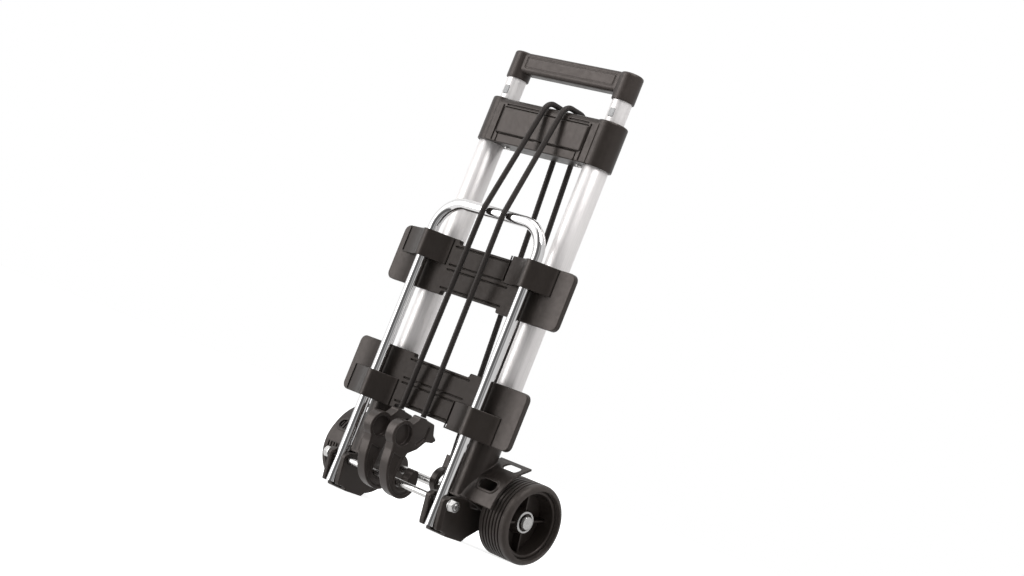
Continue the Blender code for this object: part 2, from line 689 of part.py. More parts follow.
HUB_R = 13.2 * MM
RIM_R = 39.0 * MM
RIM_EDGE = 39.0 * MM          # rim's outer edge, from the wheel's inner face
HUB_INNER = -6.0 * MM         # hub's ends, from the same face
HUB_OUTER = 29.0 * MM
WHEEL_SEGMENTS = 28
RIBS = 4
FIRST_RIB_DEG = 14.0
WASHER_R = 12.6 * MM


def make_wheel(side, parent):
    """Tyre, spoked rim, washer and axle cap, turned about X from the inner face."""
    label = side_name(side)

    def turned(name, profile, segments, kind):
        flipped = [(radius, side * height) for radius, height in profile]
        return add_object(name, lathe_mesh(name, flipped, segments, "X"), kind, parent)

    width = WHEEL_WIDTH
    shoulder = 3.4 * MM
    tread = [(WHEEL_R - shoulder + b, width - shoulder + a)
             for a, b in arc((0.0, 0.0), shoulder, 0.0, 90.0, 3)]
    grooves = 5
    pitch = (width - 2.0 * shoulder) / grooves
    for i in range(grooves):
        edge = width - shoulder - i * pitch
        tread += [(WHEEL_R - 1.6 * MM, edge - 0.5 * pitch), (WHEEL_R, edge - pitch)]
    tread += [(WHEEL_R - shoulder + b, shoulder + a)
              for a, b in arc((0.0, 0.0), shoulder, 90.0, 180.0, 3)][1:]
    tyre = [(RIM_R + GAP, 0.5 * MM), (RIM_R + GAP, width - 0.5 * MM)]
    turned("tyre_" + label, tyre + tread, WHEEL_SEGMENTS, "tyre_rubber")

    bore = AXLE_R + GAP
    web = (14.0 * MM, 18.0 * MM)
    rim = [
        (bore, HUB_INNER), (bore, HUB_OUTER), (HUB_R, HUB_OUTER), (HUB_R + 2.5 * MM, web[1]),
        (RIM_R - 4.5 * MM, web[1]), (RIM_R - 4.2 * MM, RIM_EDGE - 0.6 * MM),
        (RIM_R - 3.4 * MM, RIM_EDGE), (RIM_R, RIM_EDGE), (RIM_R, 1.0 * MM), (RIM_R - 3.0 * MM, 1.0 * MM),
        (RIM_R - 3.5 * MM, web[0]), (HUB_R, web[0]), (HUB_R - 3.0 * MM, HUB_INNER),
    ]
    wheel = turned("rim_" + label, rim, WHEEL_SEGMENTS, "black_plastic")
    ribs = bmesh.new()
    rib_low, rib_high = mirrored(web[1] - 1.0 * MM, HUB_OUTER - 0.8 * MM, side)
    for i in range(RIBS):
        angle = math.radians(FIRST_RIB_DEG + 360.0 * i / RIBS)
        along = Vector((math.cos(angle), math.sin(angle)))
        across = Vector((-along.y, along.x)) * (1.1 * MM)
        near = along * (HUB_R - 2.5 * MM)
        far = along * (RIM_R - 1.5 * MM)
        add_prism(ribs, [near - across, far - across, far + across, near + across],
                  rib_low, rib_high, "X")
    combine(wheel, finish_mesh(ribs, "rim_ribs"), "UNION", parent)

    rib_r = 9.4 * MM
    web_top = HUB_OUTER + 1.0 * MM
    lip_top = HUB_OUTER + 2.0 * MM
    washer = [(bore, HUB_OUTER + GAP), (WASHER_R, HUB_OUTER + GAP), (WASHER_R, lip_top),
              (rib_r, lip_top), (rib_r, web_top), (bore, web_top)]
    turned("wheel_washer_" + label, washer, 24, "steel")


def make_axle_cap(side, parent):
    """The pressed cap that holds a wheel on the end of the axle."""
    name = "axle_cap_" + side_name(side)
    low = WHEEL_OUTER_X - WHEEL_WIDTH + HUB_OUTER + 1.0 * MM + GAP
    tip = AXLE_HALF + 2.4 * MM
    cap_r = 7.8 * MM
    edge = 0.9 * MM
    profile = [(AXLE_R + GAP, low), (cap_r, low), (cap_r, tip - edge), (cap_r - edge, tip),
               (0.0, tip), (0.0, AXLE_HALF + GAP), (AXLE_R + GAP, AXLE_HALF + GAP)]
    flipped = [(radius, side * height) for radius, height in profile]
    add_object(name, lathe_mesh(name, flipped, 20, "X", (AXLE_DY, AXLE_DZ)), "steel", parent)


# ------------------------------------------------------------------ assembly

def build():
    clear_scene()
    pivot = Vector((0.0, PIVOT_Y, PIVOT_Z))
    cart = empty("cart", pivot)
    hinge = empty("platform_hinge", pivot)
    slide = empty("handle_slide", pivot + Vector((0.0, TUBE_DY, 0.0)))

    make_rods(cart)
    make_crosshead(cart)
    for side in (-1, 1):
        make_outer_tube(side, cart)
        make_guide_bush(side, cart)
        make_bracket(side, cart)
        make_fender(side, cart)
        make_pivot_nut(side, cart)
        make_crosshead_screw(side, cart)
        make_axle_cap(side, cart)
        make_inner_tube(side, slide)
        make_tube_foot(side, slide)
        make_lock_button(side, slide)
        inner_face = side * (WHEEL_OUTER_X - WHEEL_WIDTH)
        hub = empty("wheel_hub_" + side_name(side), pivot + Vector((inner_face, AXLE_DY, AXLE_DZ)))
        make_wheel(side, hub)
    make_grip(slide)

    make_platform_tube(hinge)
    clip_height = 32.5 * MM
    make_plate("plate_upper", UPPER_PLATE_Z, hinge)
    make_plate("plate_lower", LOWER_PLATE_Z, hinge)
    upper_top = UPPER_PLATE_Z + PLATE_HEIGHT
    for side in (-1, 1):
        label = side_name(side)
        make_tube_clip("tube_clip_upper_" + label, side * LEG_X, upper_top - clip_height, upper_top, hinge)
        make_tube_clip("tube_clip_lower_" + label, side * LEG_X, LOWER_PLATE_Z,
                       LOWER_PLATE_Z + clip_height, hinge)

    cords = (("left", -9.0 * MM, -3.0 * MM), ("right", 23.0 * MM, 25.0 * MM))
    for i, (label, bar_x, head_x) in enumerate(cords):
        make_hook("hook_" + label, HOOK_X[i], cart)
        make_cord_anchor("cord_anchor_" + label, ANCHOR_X[i], cart)
        make_cord("cord_" + label, HOOK_X[i], bar_x, head_x, ANCHOR_X[i], cart)


build()
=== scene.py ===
"""Looks of the folding luggage cart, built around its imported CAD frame.

Shapes are written in millimetres from the middle of the pivot rod, like the CAD's:
X along the axle, +Y towards the wheels, +Z up.  put() scales a finished mesh to
metres, moves it to the pivot and makes it ride on its body.
"""

import math

import bmesh
import bpy
from mathutils import Matrix, Vector


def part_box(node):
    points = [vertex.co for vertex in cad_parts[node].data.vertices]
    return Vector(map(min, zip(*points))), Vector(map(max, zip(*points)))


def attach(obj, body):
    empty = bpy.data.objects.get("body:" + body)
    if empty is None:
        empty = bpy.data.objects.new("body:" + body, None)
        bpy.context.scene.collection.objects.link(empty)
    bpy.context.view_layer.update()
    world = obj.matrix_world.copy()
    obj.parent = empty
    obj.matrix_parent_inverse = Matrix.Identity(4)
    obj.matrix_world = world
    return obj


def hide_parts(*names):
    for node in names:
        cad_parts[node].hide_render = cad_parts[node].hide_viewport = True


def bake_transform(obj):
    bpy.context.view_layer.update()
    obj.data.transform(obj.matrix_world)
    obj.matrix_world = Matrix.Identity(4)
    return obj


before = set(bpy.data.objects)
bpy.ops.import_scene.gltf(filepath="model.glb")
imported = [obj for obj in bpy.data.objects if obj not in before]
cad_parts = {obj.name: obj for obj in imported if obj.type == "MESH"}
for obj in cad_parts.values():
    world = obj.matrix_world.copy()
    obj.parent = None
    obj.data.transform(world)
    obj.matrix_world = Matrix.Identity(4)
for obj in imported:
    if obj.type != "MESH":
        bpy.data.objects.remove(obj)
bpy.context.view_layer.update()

MM = 0.001
SIDES = (("left", -1), ("right", 1))
PLACE = {
    "X": lambda a, b, h: (h, a, b),
    "Y": lambda a, b, h: (a, h, b),
    "Z": lambda a, b, h: (a, b, h),
}


def middle(box):
    return (box[0] + box[1]) / 2.0


PIVOT = middle(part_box("pivot_rod"))


def span(node):
    """A CAD node's lowest and highest corners, in millimetres from the pivot."""
    low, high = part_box(node)
    return (low - PIVOT) / MM, (high - PIVOT) / MM


# Driving sizes, read from the frame.
OUTER_TUBE = span("outer_tube_right")
INNER_TUBE = span("inner_tube_right")
TUBE_X, TUBE_Y = middle(OUTER_TUBE).x, middle(OUTER_TUBE).y
OUTER_R = (OUTER_TUBE[1].x - OUTER_TUBE[0].x) / 2.0
INNER_R = (INNER_TUBE[1].x - INNER_TUBE[0].x) / 2.0
WALL = 1.3
HEAD = span("crosshead")
HEAD_FRONT, HEAD_BACK = TUBE_Y - 18.6, TUBE_Y + 15.5
HEAD_EDGE = 9.0
COVER = span("crosshead_cover")
GRIP = span("grip")
AXLE = span("axle")
AXLE_Y, AXLE_Z, AXLE_R = middle(AXLE).y, middle(AXLE).z, 5.0
AXLE_HALF = AXLE[1].x
TYRE = span("tyre_right")
WHEEL_R = (TYRE[1].z - TYRE[0].z) / 2.0
WHEEL_X = (TYRE[0].x, TYRE[1].x)
ROD = span("pivot_rod")
ROD_R = (ROD[1].z - ROD[0].z) / 2.0
LOOP = span("platform_tube")
LOOP_R = (LOOP[1].y - LOOP[0].y) / 2.0
LEG_X = LOOP[1].x - LOOP_R
BAR_Z = LOOP[1].z - LOOP_R
PLATES = {"plate_upper": span("plate_upper"), "plate_lower": span("plate_lower")}
PLATE_FRONT, PLATE_BACK = PLATES["plate_upper"][0].y, PLATES["plate_upper"][1].y
PLATE_HALF = PLATES["plate_upper"][1].x
GROUND = -PIVOT.z / MM
FENDER = span("fender_right")
FENDER_R = AXLE_Y - FENDER[0].y
BRACKET = span("bracket_right")
CORD_R = 3.3


# --------------------------------------------------------------- outlines in 2D

def arc(centre, radius, start_deg, end_deg, steps):
    """Points along an arc, both ends included."""
    turns = [math.radians(start_deg + (end_deg - start_deg) * i / steps) for i in range(steps + 1)]
    return [(centre[0] + radius * math.cos(t), centre[1] + radius * math.sin(t)) for t in turns]


def circle(centre, radius, segments):
    return arc(centre, radius, 0.0, 360.0, segments)[:-1]


def rounded(corners, steps=6):
    """Turn corners given as (a, b, radius) into an outline with round corners."""
    points = []
    for i, (a, b, radius) in enumerate(corners):
        here = Vector((a, b))
        if radius <= 0.0:
            points.append((a, b))
            continue
        before = (Vector(corners[i - 1][:2]) - here).normalized()
        after = (Vector(corners[(i + 1) % len(corners)][:2]) - here).normalized()
        half = before.angle(after) / 2.0
        centre = here + (before + after).normalized() * (radius / math.sin(half))
        start = here + before * (radius / math.tan(half)) - centre
        end = here + after * (radius / math.tan(half)) - centre
        sweep = -start.angle_signed(end)
        for k in range(steps + 1):
            cos_t, sin_t = math.cos(sweep * k / steps), math.sin(sweep * k / steps)
            points.append((centre.x + start.x * cos_t - start.y * sin_t,
                           centre.y + start.x * sin_t + start.y * cos_t))
    return points


def curved(points, steps=8):
    """A smooth curve through points, whose first and last only steer its ends."""
    made = []
    for before, start, end, after in zip(points, points[1:], points[2:], points[3:]):
        for k in range(steps):
            t = k / steps
            made.append(tuple(
                b + 0.5 * t * (c - a + t * (2.0 * a - 5.0 * b + 4.0 * c - d + t * (3.0 * (b - c) + d - a)))
                for a, b, c, d in zip(before, start, end, after)))
    return made + [points[-2]]


def box_outline(low, high, radius=0.0):
    return rounded([(low[0], low[1], radius), (high[0], low[1], radius),
                    (high[0], high[1], radius), (low[0], high[1], radius)])


def slot_outline(centre, half_length, radius, steps=12):
    """A slot with round ends, long along its first coordinate."""
    right = arc((centre[0] + half_length - radius, centre[1]), radius, -90.0, 90.0, steps)
    left = arc((centre[0] - half_length + radius, centre[1]), radius, 90.0, 270.0, steps)
    return right + left


# ------------------------------------------------------------------- solids

def closed(bm):
    bmesh.ops.remove_doubles(bm, verts=bm.verts, dist=1e-4)
    bmesh.ops.recalc_face_normals(bm, faces=bm.faces)
    mesh = bpy.data.meshes.new("solid")
    bm.to_mesh(mesh)
    bm.free()
    return mesh


def prism(outline, low, high, axis, holes=()):
    """Extrude an outline, with holes in it, from low to high along an axis."""
    bm = bmesh.new()
    edges = []
    for loop in [outline, *holes]:
        verts = [bm.verts.new(PLACE[axis](a, b, low)) for a, b in loop]
        edges += [bm.edges.new((vert, verts[(i + 1) % len(verts)])) for i, vert in enumerate(verts)]
    filled = bmesh.ops.triangle_fill(bm, edges=edges, use_beauty=True)
    faces = [item for item in filled["geom"] if isinstance(item, bmesh.types.BMFace)]
    raised = bmesh.ops.extrude_face_region(bm, geom=faces, use_keep_orig=True)
    moved = [item for item in raised["geom"] if isinstance(item, bmesh.types.BMVert)]
    bmesh.ops.translate(bm, verts=moved, vec=Vector(PLACE[axis](0.0, 0.0, high - low)))
    return closed(bm)


def lathe(profile, axis, centre=(0.0, 0.0), segments=96):
    """Turn a closed profile of (radius, height) points about an axis."""
    bm = bmesh.new()
    rings = []
    for radius, height in profile:
        if radius == 0.0:
            rings.append([bm.verts.new(PLACE[axis](centre[0], centre[1], height))] * segments)
        else:
            rings.append([bm.verts.new(PLACE[axis](a, b, height))
                          for a, b in circle(centre, radius, segments)])
    for ring, following in zip(rings, rings[1:] + rings[:1]):
        for k in range(segments):
            n = (k + 1) % segments
            corners = list(dict.fromkeys([ring[k], ring[n], following[n], following[k]]))
            if len(corners) > 2:
                bm.faces.new(corners)
    return closed(bm)


def loft(rings):
    """A solid through rings of points, each with the same count, with flat ends."""
    bm = bmesh.new()
    made = [[bm.verts.new(point) for point in ring] for ring in rings]
    for ring, following in zip(made, made[1:]):
        for k, vert in enumerate(ring):
            n = (k + 1) % len(ring)
            bm.faces.new((vert, ring[n], following[n], following[k]))
    bm.faces.new(made[0])
    bm.faces.new(made[-1])
    return closed(bm)


def carried_frames(path):
    """(point, side, up) along a path, carried on without twist."""
    frames = []
    up = None
    for i, point in enumerate(path):
        along = (path[min(i + 1, len(path) - 1)] - path[max(i - 1, 0)]).normalized()
        if up is None:
            up = Vector((1.0, 0.0, 0.0)) if abs(along.x) < 0.9 else Vector((0.0, 1.0, 0.0))
        up = (up - along * up.dot(along)).normalized()
        frames.append((point, along.cross(up), up))
    return frames


def joined(parts):
    """Several meshes in one; where they overlap, a later remesh unites them."""
    bm = bmesh.new()
    for part in parts:
        bm.from_mesh(part)
    mesh = bpy.data.meshes.new("joined")
    bm.to_mesh(mesh)
    bm.free()
    return mesh


def scratch(mesh):
    made = bpy.data.objects.new("scratch", mesh)
    bpy.context.scene.collection.objects.link(made)
    return made


def evaluated(thing):
    """The mesh of an object with its modifiers applied; the object goes."""
    graph = bpy.context.evaluated_depsgraph_get()
    mesh = bpy.data.meshes.new_from_object(thing.evaluated_get(graph), depsgraph=graph)
    bpy.data.objects.remove(thing, do_unlink=True)
    return mesh


def boolean(mesh, added=(), kept=(), cut=()):
    """Exact union with some solids, intersection with others and difference with others."""
    base = scratch(mesh)
    tools = []
    for operation, solids in (("UNION", added), ("INTERSECT", kept), ("DIFFERENCE", cut)):
        for solid in solids:
            tools.append(scratch(solid))
            step = base.modifiers.new(operation.title(), "BOOLEAN")
            step.operation = operation
            step.solver = "EXACT"
            step.object = tools[-1]
    result = evaluated(base)
    for tool in tools:
        bpy.data.objects.remove(tool, do_unlink=True)
    return result


def moulded(solids, cuts=(), voxel=0.6, rounds=4, keep=0.45):
    """Solids fused into one moulding whose edges and inner corners are all softly round.

    Each solid is cut on its own, and the remesh then unites them.
    """
    base = scratch(joined([boolean(solid, cut=cuts) for solid in solids]))
    remesh = base.modifiers.new("Remesh", "REMESH")
    remesh.mode = "VOXEL"
    remesh.voxel_size = voxel * 1.0
    relax = base.modifiers.new("Relax", "SMOOTH")
    relax.factor = 0.5
    relax.iterations = rounds
    thin = base.modifiers.new("Thin", "DECIMATE")
    thin.ratio = keep
    return evaluated(base)


def mirrored(mesh):
    """The same mesh on the other side of the cart."""
    other = mesh.copy()
    other.transform(Matrix.Scale(-1.0, 4, Vector((1.0, 0.0, 0.0))))
    other.flip_normals()
    return other


def put(name, mesh, slot, body, *nodes, sharp_deg=40.0, finish=None):
    """Finish a piece: scale, shade, material, body and the CAD nodes it stands for.

    Its material is the slot's, unless finish names another one.  A piece that
    put_cord_part() makes has no body of its own.
    """
    mesh.transform(Matrix.Translation(PIVOT) @ Matrix.Scale(MM, 4))
    mesh.shade_smooth()
    mesh.set_sharp_from_angle(angle=math.radians(sharp_deg))
    mesh.name = name
    mesh.materials.clear()
    mesh.materials.append(MATERIALS[finish or slot])
    piece = bpy.data.objects.new(name, mesh)
    bpy.context.scene.collection.objects.link(piece)
    if body:
        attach(piece, body)
    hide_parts(*(nodes or (name,)))
    return piece


# ---------------------------------------------------------------- materials

WARM_SHEEN = (1.0, 0.88, 0.83, 1.0)      # tint of the shine on every dark finish


class Finish:
    """A procedural material: a Principled shader and the nodes that vary it."""

    def __init__(self, name, colour, roughness, metallic=0.0):
        self.material = bpy.data.materials.new(name)
        self.material.use_nodes = True
        self.material.diffuse_color = (*colour, 1.0)
        self.tree = self.material.node_tree
        self.shader = self.tree.nodes["Principled BSDF"]
        self.colour, self.roughness = colour, roughness
        self.shader.inputs["Base Color"].default_value = (*colour, 1.0)
        self.shader.inputs["Roughness"].default_value = roughness
        self.shader.inputs["Metallic"].default_value = metallic
        if max(colour) < 0.1:
            self.shader.inputs["Specular Tint"].default_value = WARM_SHEEN
        self.place = self.tree.nodes.new("ShaderNodeTexCoord").outputs["Object"]

    def link(self, source, target):
        self.tree.links.new(source, target)

    def stretched(self, scale):
        mapping = self.tree.nodes.new("ShaderNodeMapping")
        mapping.inputs["Scale"].default_value = scale
        self.link(self.place, mapping.inputs["Vector"])
        return mapping.outputs["Vector"]

    def noise(self, scale, detail=3.0, stretch=(1.0, 1.0, 1.0)):
        noise = self.tree.nodes.new("ShaderNodeTexNoise")
        noise.inputs["Scale"].default_value = scale
        noise.inputs["Detail"].default_value = detail
        self.link(self.stretched(stretch), noise.inputs["Vector"])
        return noise.outputs["Fac"]

    def ranged(self, value, low, high, start=0.3, end=0.7):
        node = self.tree.nodes.new("ShaderNodeMapRange")
        for label, number in (("From Min", start), ("From Max", end), ("To Min", low), ("To Max", high)):
            node.inputs[label].default_value = number
        self.link(value, node.inputs["Value"])
        return node.outputs["Result"]

    def mottle(self, value, spread):
        """Vary the base colour's brightness by a share of it either way."""
        mix = self.tree.nodes.new("ShaderNodeMix")
        mix.data_type = "RGBA"
        mix.inputs["A"].default_value = (*[c * (1.0 - spread) for c in self.colour], 1.0)
        mix.inputs["B"].default_value = (*[min(1.0, c * (1.0 + spread)) for c in self.colour], 1.0)
        self.link(self.ranged(value, 0.0, 1.0), mix.inputs["Factor"])
        self.link(mix.outputs["Result"], self.shader.inputs["Base Color"])
        return self

    def polish(self, value, spread):
        low, high = self.roughness * (1.0 - spread), self.roughness * (1.0 + spread)
        self.link(self.ranged(value, low, high), self.shader.inputs["Roughness"])
        return self

    def shine_across(self, near_mm, far_mm, low, high):
        """Shine that grows with the distance from the middle of the cart, along X.

        It stands in for a light close to the plates' ends, and isn't a trait of the plastic.
        """
        parts = self.tree.nodes.new("ShaderNodeSeparateXYZ")
        self.link(self.place, parts.inputs["Vector"])
        distance = self.tree.nodes.new("ShaderNodeMath")
        distance.operation = "ABSOLUTE"
        self.link(parts.outputs["X"], distance.inputs[0])
        self.link(self.ranged(distance.outputs["Value"], low, high, near_mm * MM, far_mm * MM),
                  self.shader.inputs["Specular IOR Level"])
        return self

    def relief(self, value, height_mm, strength=0.5):
        bump = self.tree.nodes.new("ShaderNodeBump")
        bump.inputs["Distance"].default_value = height_mm * MM
        bump.inputs["Strength"].default_value = strength
        self.link(value, bump.inputs["Height"])
        self.link(bump.outputs["Normal"], self.shader.inputs["Normal"])
        return self


def moulded_plastic(name, colour, roughness, grain_mm=0.7, height_mm=0.04):
    """Satin plastic with a fine grain and slightly uneven colour and polish."""
    finish = Finish(name, colour, roughness)
    finish.mottle(finish.noise(60.0), 0.10)
    finish.polish(finish.noise(180.0, 4.0), 0.14)
    finish.relief(finish.noise(1.0 / (grain_mm * MM), 2.0), height_mm, 0.35)
    return finish


def drawn_metal(name, colour, roughness, metallic, streak, depth=0.12, height_mm=0.01):
    """Metal with fine lines along Z."""
    finish = Finish(name, colour, roughness, metallic)
    lines = finish.noise(streak, 3.0, (1.0, 1.0, 0.012))
    return finish.mottle(lines, 0.05).polish(lines, depth).relief(lines, height_mm, 0.25)


def make_materials():
    """One material for each slot of the record, and "plate" for the load plates."""
    made = {}
    black = (0.023, 0.019, 0.0165)
    made["black_plastic"] = moulded_plastic("satin_black_plastic", black, 0.37)
    made["plate"] = moulded_plastic("plate_black_plastic", black, 0.37)
    made["plate"].shine_across(112.0, 130.0, 0.18, 0.52)
    made["hook_plastic"] = moulded_plastic("hook_black_plastic", (0.038, 0.032, 0.029), 0.33)
    made["rim_plastic"] = moulded_plastic("rim_black_plastic", (0.026, 0.021, 0.018), 0.40)
    made["grip_plastic"] = moulded_plastic("grip_black_plastic", (0.034, 0.028, 0.025), 0.38, 0.5)
    made["grey_plastic"] = moulded_plastic("grey_plastic", (0.42, 0.42, 0.42), 0.42)
    made["tube_aluminium"] = drawn_metal("satin_aluminium", (0.92, 0.89, 0.88), 0.40, 0.5, 900.0)
    made["chrome"] = drawn_metal("bright_chrome", (0.88, 0.87, 0.87), 0.06, 1.0, 400.0, 0.2, 0.0)

    steel = Finish("zinc_plated_steel", (0.68, 0.67, 0.66), 0.27, 1.0)
    steel.mottle(steel.noise(400.0), 0.08).polish(steel.noise(300.0, 4.0), 0.25)
    steel.relief(steel.noise(700.0), 0.006, 0.15)
    made["steel"] = steel

    rubber = Finish("ribbed_rubber", (0.046, 0.039, 0.035), 0.48)
    rubber.mottle(rubber.noise(90.0), 0.18).polish(rubber.noise(240.0, 4.0), 0.15)
    rubber.relief(rubber.noise(1100.0, 3.0), 0.06, 0.4)
    made["tyre_rubber"] = rubber

    sheath = Finish("braided_sheath", (0.016, 0.014, 0.013), 0.6)
    sheath.mottle(sheath.noise(1400.0, 2.0), 0.45)
    sheath.relief(sheath.noise(2600.0, 2.0), 0.08, 0.5)
    sheath.shader.inputs["Sheen Weight"].default_value = 0.1
    sheath.shader.inputs["Sheen Roughness"].default_value = 0.5
    made["cord_sheath"] = sheath
    return {slot: finish.material for slot, finish in made.items()}


MATERIALS = make_materials()


# ------------------------------------------------------------- tubes and handle

def make_outer_tubes():
    low, high = OUTER_TUBE[0].z, OUTER_TUBE[1].z
    inner = OUTER_R - WALL
    edge = 0.4
    profile = [(inner, low), (OUTER_R - edge, low), (OUTER_R, low + edge), (OUTER_R, high - edge),
               (OUTER_R - edge, high), (inner, high)]
    for label, side in SIDES:
        mesh = lathe(profile, "Z", (side * TUBE_X, TUBE_Y), 128)
        put("outer_tube_" + label, mesh, "tube_aluminium", "frame", sharp_deg=50.0)


def make_inner_tubes():
    """Inner tubes with a window for the lock button, which is a domed key."""
    low, high = INNER_TUBE[0].z, INNER_TUBE[1].z
    key = span("lock_button_right")
    half_x, half_z = (key[1].x - key[0].x) / 2.0, (key[1].z - key[0].z) / 2.0
    front = TUBE_Y - INNER_R
    mid_z = middle(key).z
    margin = 0.4
    for label, side in SIDES:
        x = side * TUBE_X
        tube = lathe([(INNER_R - WALL, low), (INNER_R, low), (INNER_R, high), (INNER_R - WALL, high)],
                     "Z", (x, TUBE_Y), 96)
        window = prism(box_outline((x - half_x - margin, mid_z - half_z - margin),
                                   (x + half_x + margin, mid_z + half_z + margin), 1.6),
                       front - 3.0, front + 6.0, "Y")
        put("inner_tube_" + label, boolean(tube, cut=[window]), "tube_aluminium", "handle")
        layers = ((0.0, key[1].y), (0.0, key[0].y + 0.9), (0.35, key[0].y + 0.6), (1.1, key[0].y + 0.5))
        rings = []
        for inset, y in layers:
            rings.append([(a, y, b) for a, b in
                          box_outline((x - half_x + inset, mid_z - half_z + inset),
                                      (x + half_x - inset, mid_z + half_z - inset), 1.4)])
        put("lock_button_" + label, loft(rings), "grey_plastic", "lock_button_" + label)


def make_grip():
    """The carrying handle: a bar with an inset front panel between two round bosses."""
    low, high = GRIP[0].z, GRIP[1].z
    boss_r = (GRIP[1].y - GRIP[0].y) / 2.0
    half_depth = 10.5
    bar_bottom = low + 8.0
    front = TUBE_Y - half_depth
    inner_x = TUBE_X - math.sqrt(boss_r * boss_r - half_depth * half_depth)
    bar = rounded([(front, bar_bottom, 5.5), (TUBE_Y + half_depth, bar_bottom, 5.5),
                   (TUBE_Y + half_depth, high - 0.4, 4.0), (front, high - 0.4, 4.0)])
    bosses = []
    cuts = []
    for _, side in SIDES:
        centre = (side * TUBE_X, TUBE_Y)
        profile = [(0.0, low), (boss_r - 0.6, low), (boss_r, low + 0.6)]
        profile += arc((boss_r - 3.0, high - 3.0), 3.0, 0.0, 90.0, 6) + [(0.0, high)]
        bosses.append(lathe(profile, "Z", centre))
        cuts.append(lathe([(0.0, low - 5.0), (INNER_R + 0.3, low - 5.0),
                           (INNER_R + 0.3, INNER_TUBE[1].z + 0.3), (0.0, INNER_TUBE[1].z + 0.3)],
                          "Z", centre))
    reach = inner_x - 5.0
    panel = box_outline((-reach, bar_bottom + 6.0), (reach, high - 5.0), 2.0)
    inside = box_outline((-reach + 1.4, bar_bottom + 7.4), (reach - 1.4, high - 6.4), 1.2)
    cuts.append(prism(panel, front - 2.0, front + 0.9, "Y", [inside]))
    mesh = moulded([prism(bar, -inner_x, inner_x, "X"), *bosses], cuts)
    put("grip", mesh, "grip_plastic", "handle")


# ------------------------------------------------------------------- crosshead

def make_crosshead():
    low, high = HEAD[0].z, HEAD[1].z
    boss_r = HEAD[1].x - TUBE_X
    front = HEAD_FRONT
    outline = rounded([(front, low, 1.5), (HEAD_BACK, low, 1.5), (HEAD_BACK, high, HEAD_EDGE),
                       (front, high, HEAD_EDGE)], 10)
    reach = TUBE_X - 4.0
    added = []
    cuts = []
    for _, side in SIDES:
        centre = (side * TUBE_X, TUBE_Y)
        profile = [(0.0, low), (boss_r - 0.8, low), (boss_r, low + 0.8)]
        profile += arc((boss_r - 2.4, high - 2.4), 2.4, 0.0, 90.0, 6) + [(0.0, high)]
        added.append(lathe(profile, "Z", centre))
        cuts.append(lathe([(0.0, low - 5.0), (OUTER_R + 0.3, low - 5.0),
                           (OUTER_R + 0.3, OUTER_TUBE[1].z + 0.3), (0.0, OUTER_TUBE[1].z + 0.3)],
                          "Z", centre))
        cuts.append(lathe([(0.0, low), (INNER_R + 0.6, low), (INNER_R + 0.6, high + 5.0),
                           (0.0, high + 5.0)], "Z", centre))
        # The groove where the front panel meets the boss.
        groove = sorted((side * 69.4, side * 71.2))
        cuts.append(prism([(groove[0], front - 4.0), (groove[1], front - 4.0),
                           (groove[1], front + 2.2), (groove[0], front + 2.2)],
                          low + 1.0, high - 9.0, "Z"))
        # The seams that bound the strip under the cover, and its end notch.
        ends = sorted((side * 4.0, side * 66.0))
        cuts.append(prism([(ends[0], COVER[0].z - 1.6), (ends[1], COVER[0].z - 1.6),
                           (ends[1], COVER[0].z - 0.2), (ends[0], COVER[0].z - 0.2)],
                          front - 2.0, front + 1.8, "Y"))
        ends = sorted((side * 62.4, side * 64.0))
        cuts.append(prism([(ends[0], low - 1.0), (ends[1], low - 1.0), (ends[1], COVER[0].z),
                           (ends[0], COVER[0].z)], front - 2.0, front + 1.8, "Y"))
        cuts.append(prism(circle((side * 58.0, TUBE_Y), 1.8, 20), low - 5.0, low + 12.0, "Z"))
        # The thin lip along the top of the panel, on both sides of the cords.
        ends = (-66.0, -12.0) if side < 0 else (34.0, 66.0)
        cuts.append(prism(box_outline((ends[0], high - 8.8), (ends[1], high - 7.2), 0.7),
                          front - 3.0, front + 2.4, "Y"))
    recess = box_outline((COVER[0].x - 0.5, COVER[0].z - 0.5), (COVER[1].x + 0.5, COVER[1].z + 0.5), 2.4)
    cuts.append(prism(recess, front - 5.0, COVER[1].y + 0.3, "Y"))
    mesh = moulded([prism(outline, -reach, reach, "X"), *added], cuts, 0.6)
    put("crosshead", mesh, "black_plastic", "frame")

    rings = []
    for inset, y in ((0.0, COVER[1].y), (0.0, COVER[0].y + 0.9), (0.3, COVER[0].y + 0.35),
                     (1.1, COVER[0].y), (3.0, COVER[0].y)):
        rings.append([(a, y, b) for a, b in
                      box_outline((COVER[0].x + inset, COVER[0].z + inset),
                                  (COVER[1].x - inset, COVER[1].z - inset), max(0.8, 2.2 - inset))])
    put("crosshead_cover", loft(rings), "black_plastic", "frame", sharp_deg=50.0)

    for label, side in SIDES:
        screw = span("crosshead_screw_" + label)
        low = screw[0].z
        centre = (middle(screw).x, middle(screw).y)
        profile = [(0.0, low), (2.0, low), (3.0, low + 0.5), (3.6, low + 1.6), (3.6, low + 2.3),
                   (1.5, low + 2.3), (1.5, screw[1].z), (0.0, screw[1].z)]
        across = [prism(box_outline((centre[0] - a, centre[1] - b), (centre[0] + a, centre[1] + b)),
                        low - 1.0, low + 1.2, "Z") for a, b in ((2.0, 0.45), (0.45, 2.0))]
        mesh = boolean(lathe(profile, "Z", centre, 48), cut=across)
        put("crosshead_screw_" + label, mesh, "steel", "frame", sharp_deg=30.0)


# ------------------------------------------------------------ brackets, fenders

def fender_point(z, inset=0.0):
    """Where the fender's front sheet is at a height, as y."""
    return AXLE_Y - math.sqrt((FENDER_R - inset) ** 2 - (z - AXLE_Z) ** 2)


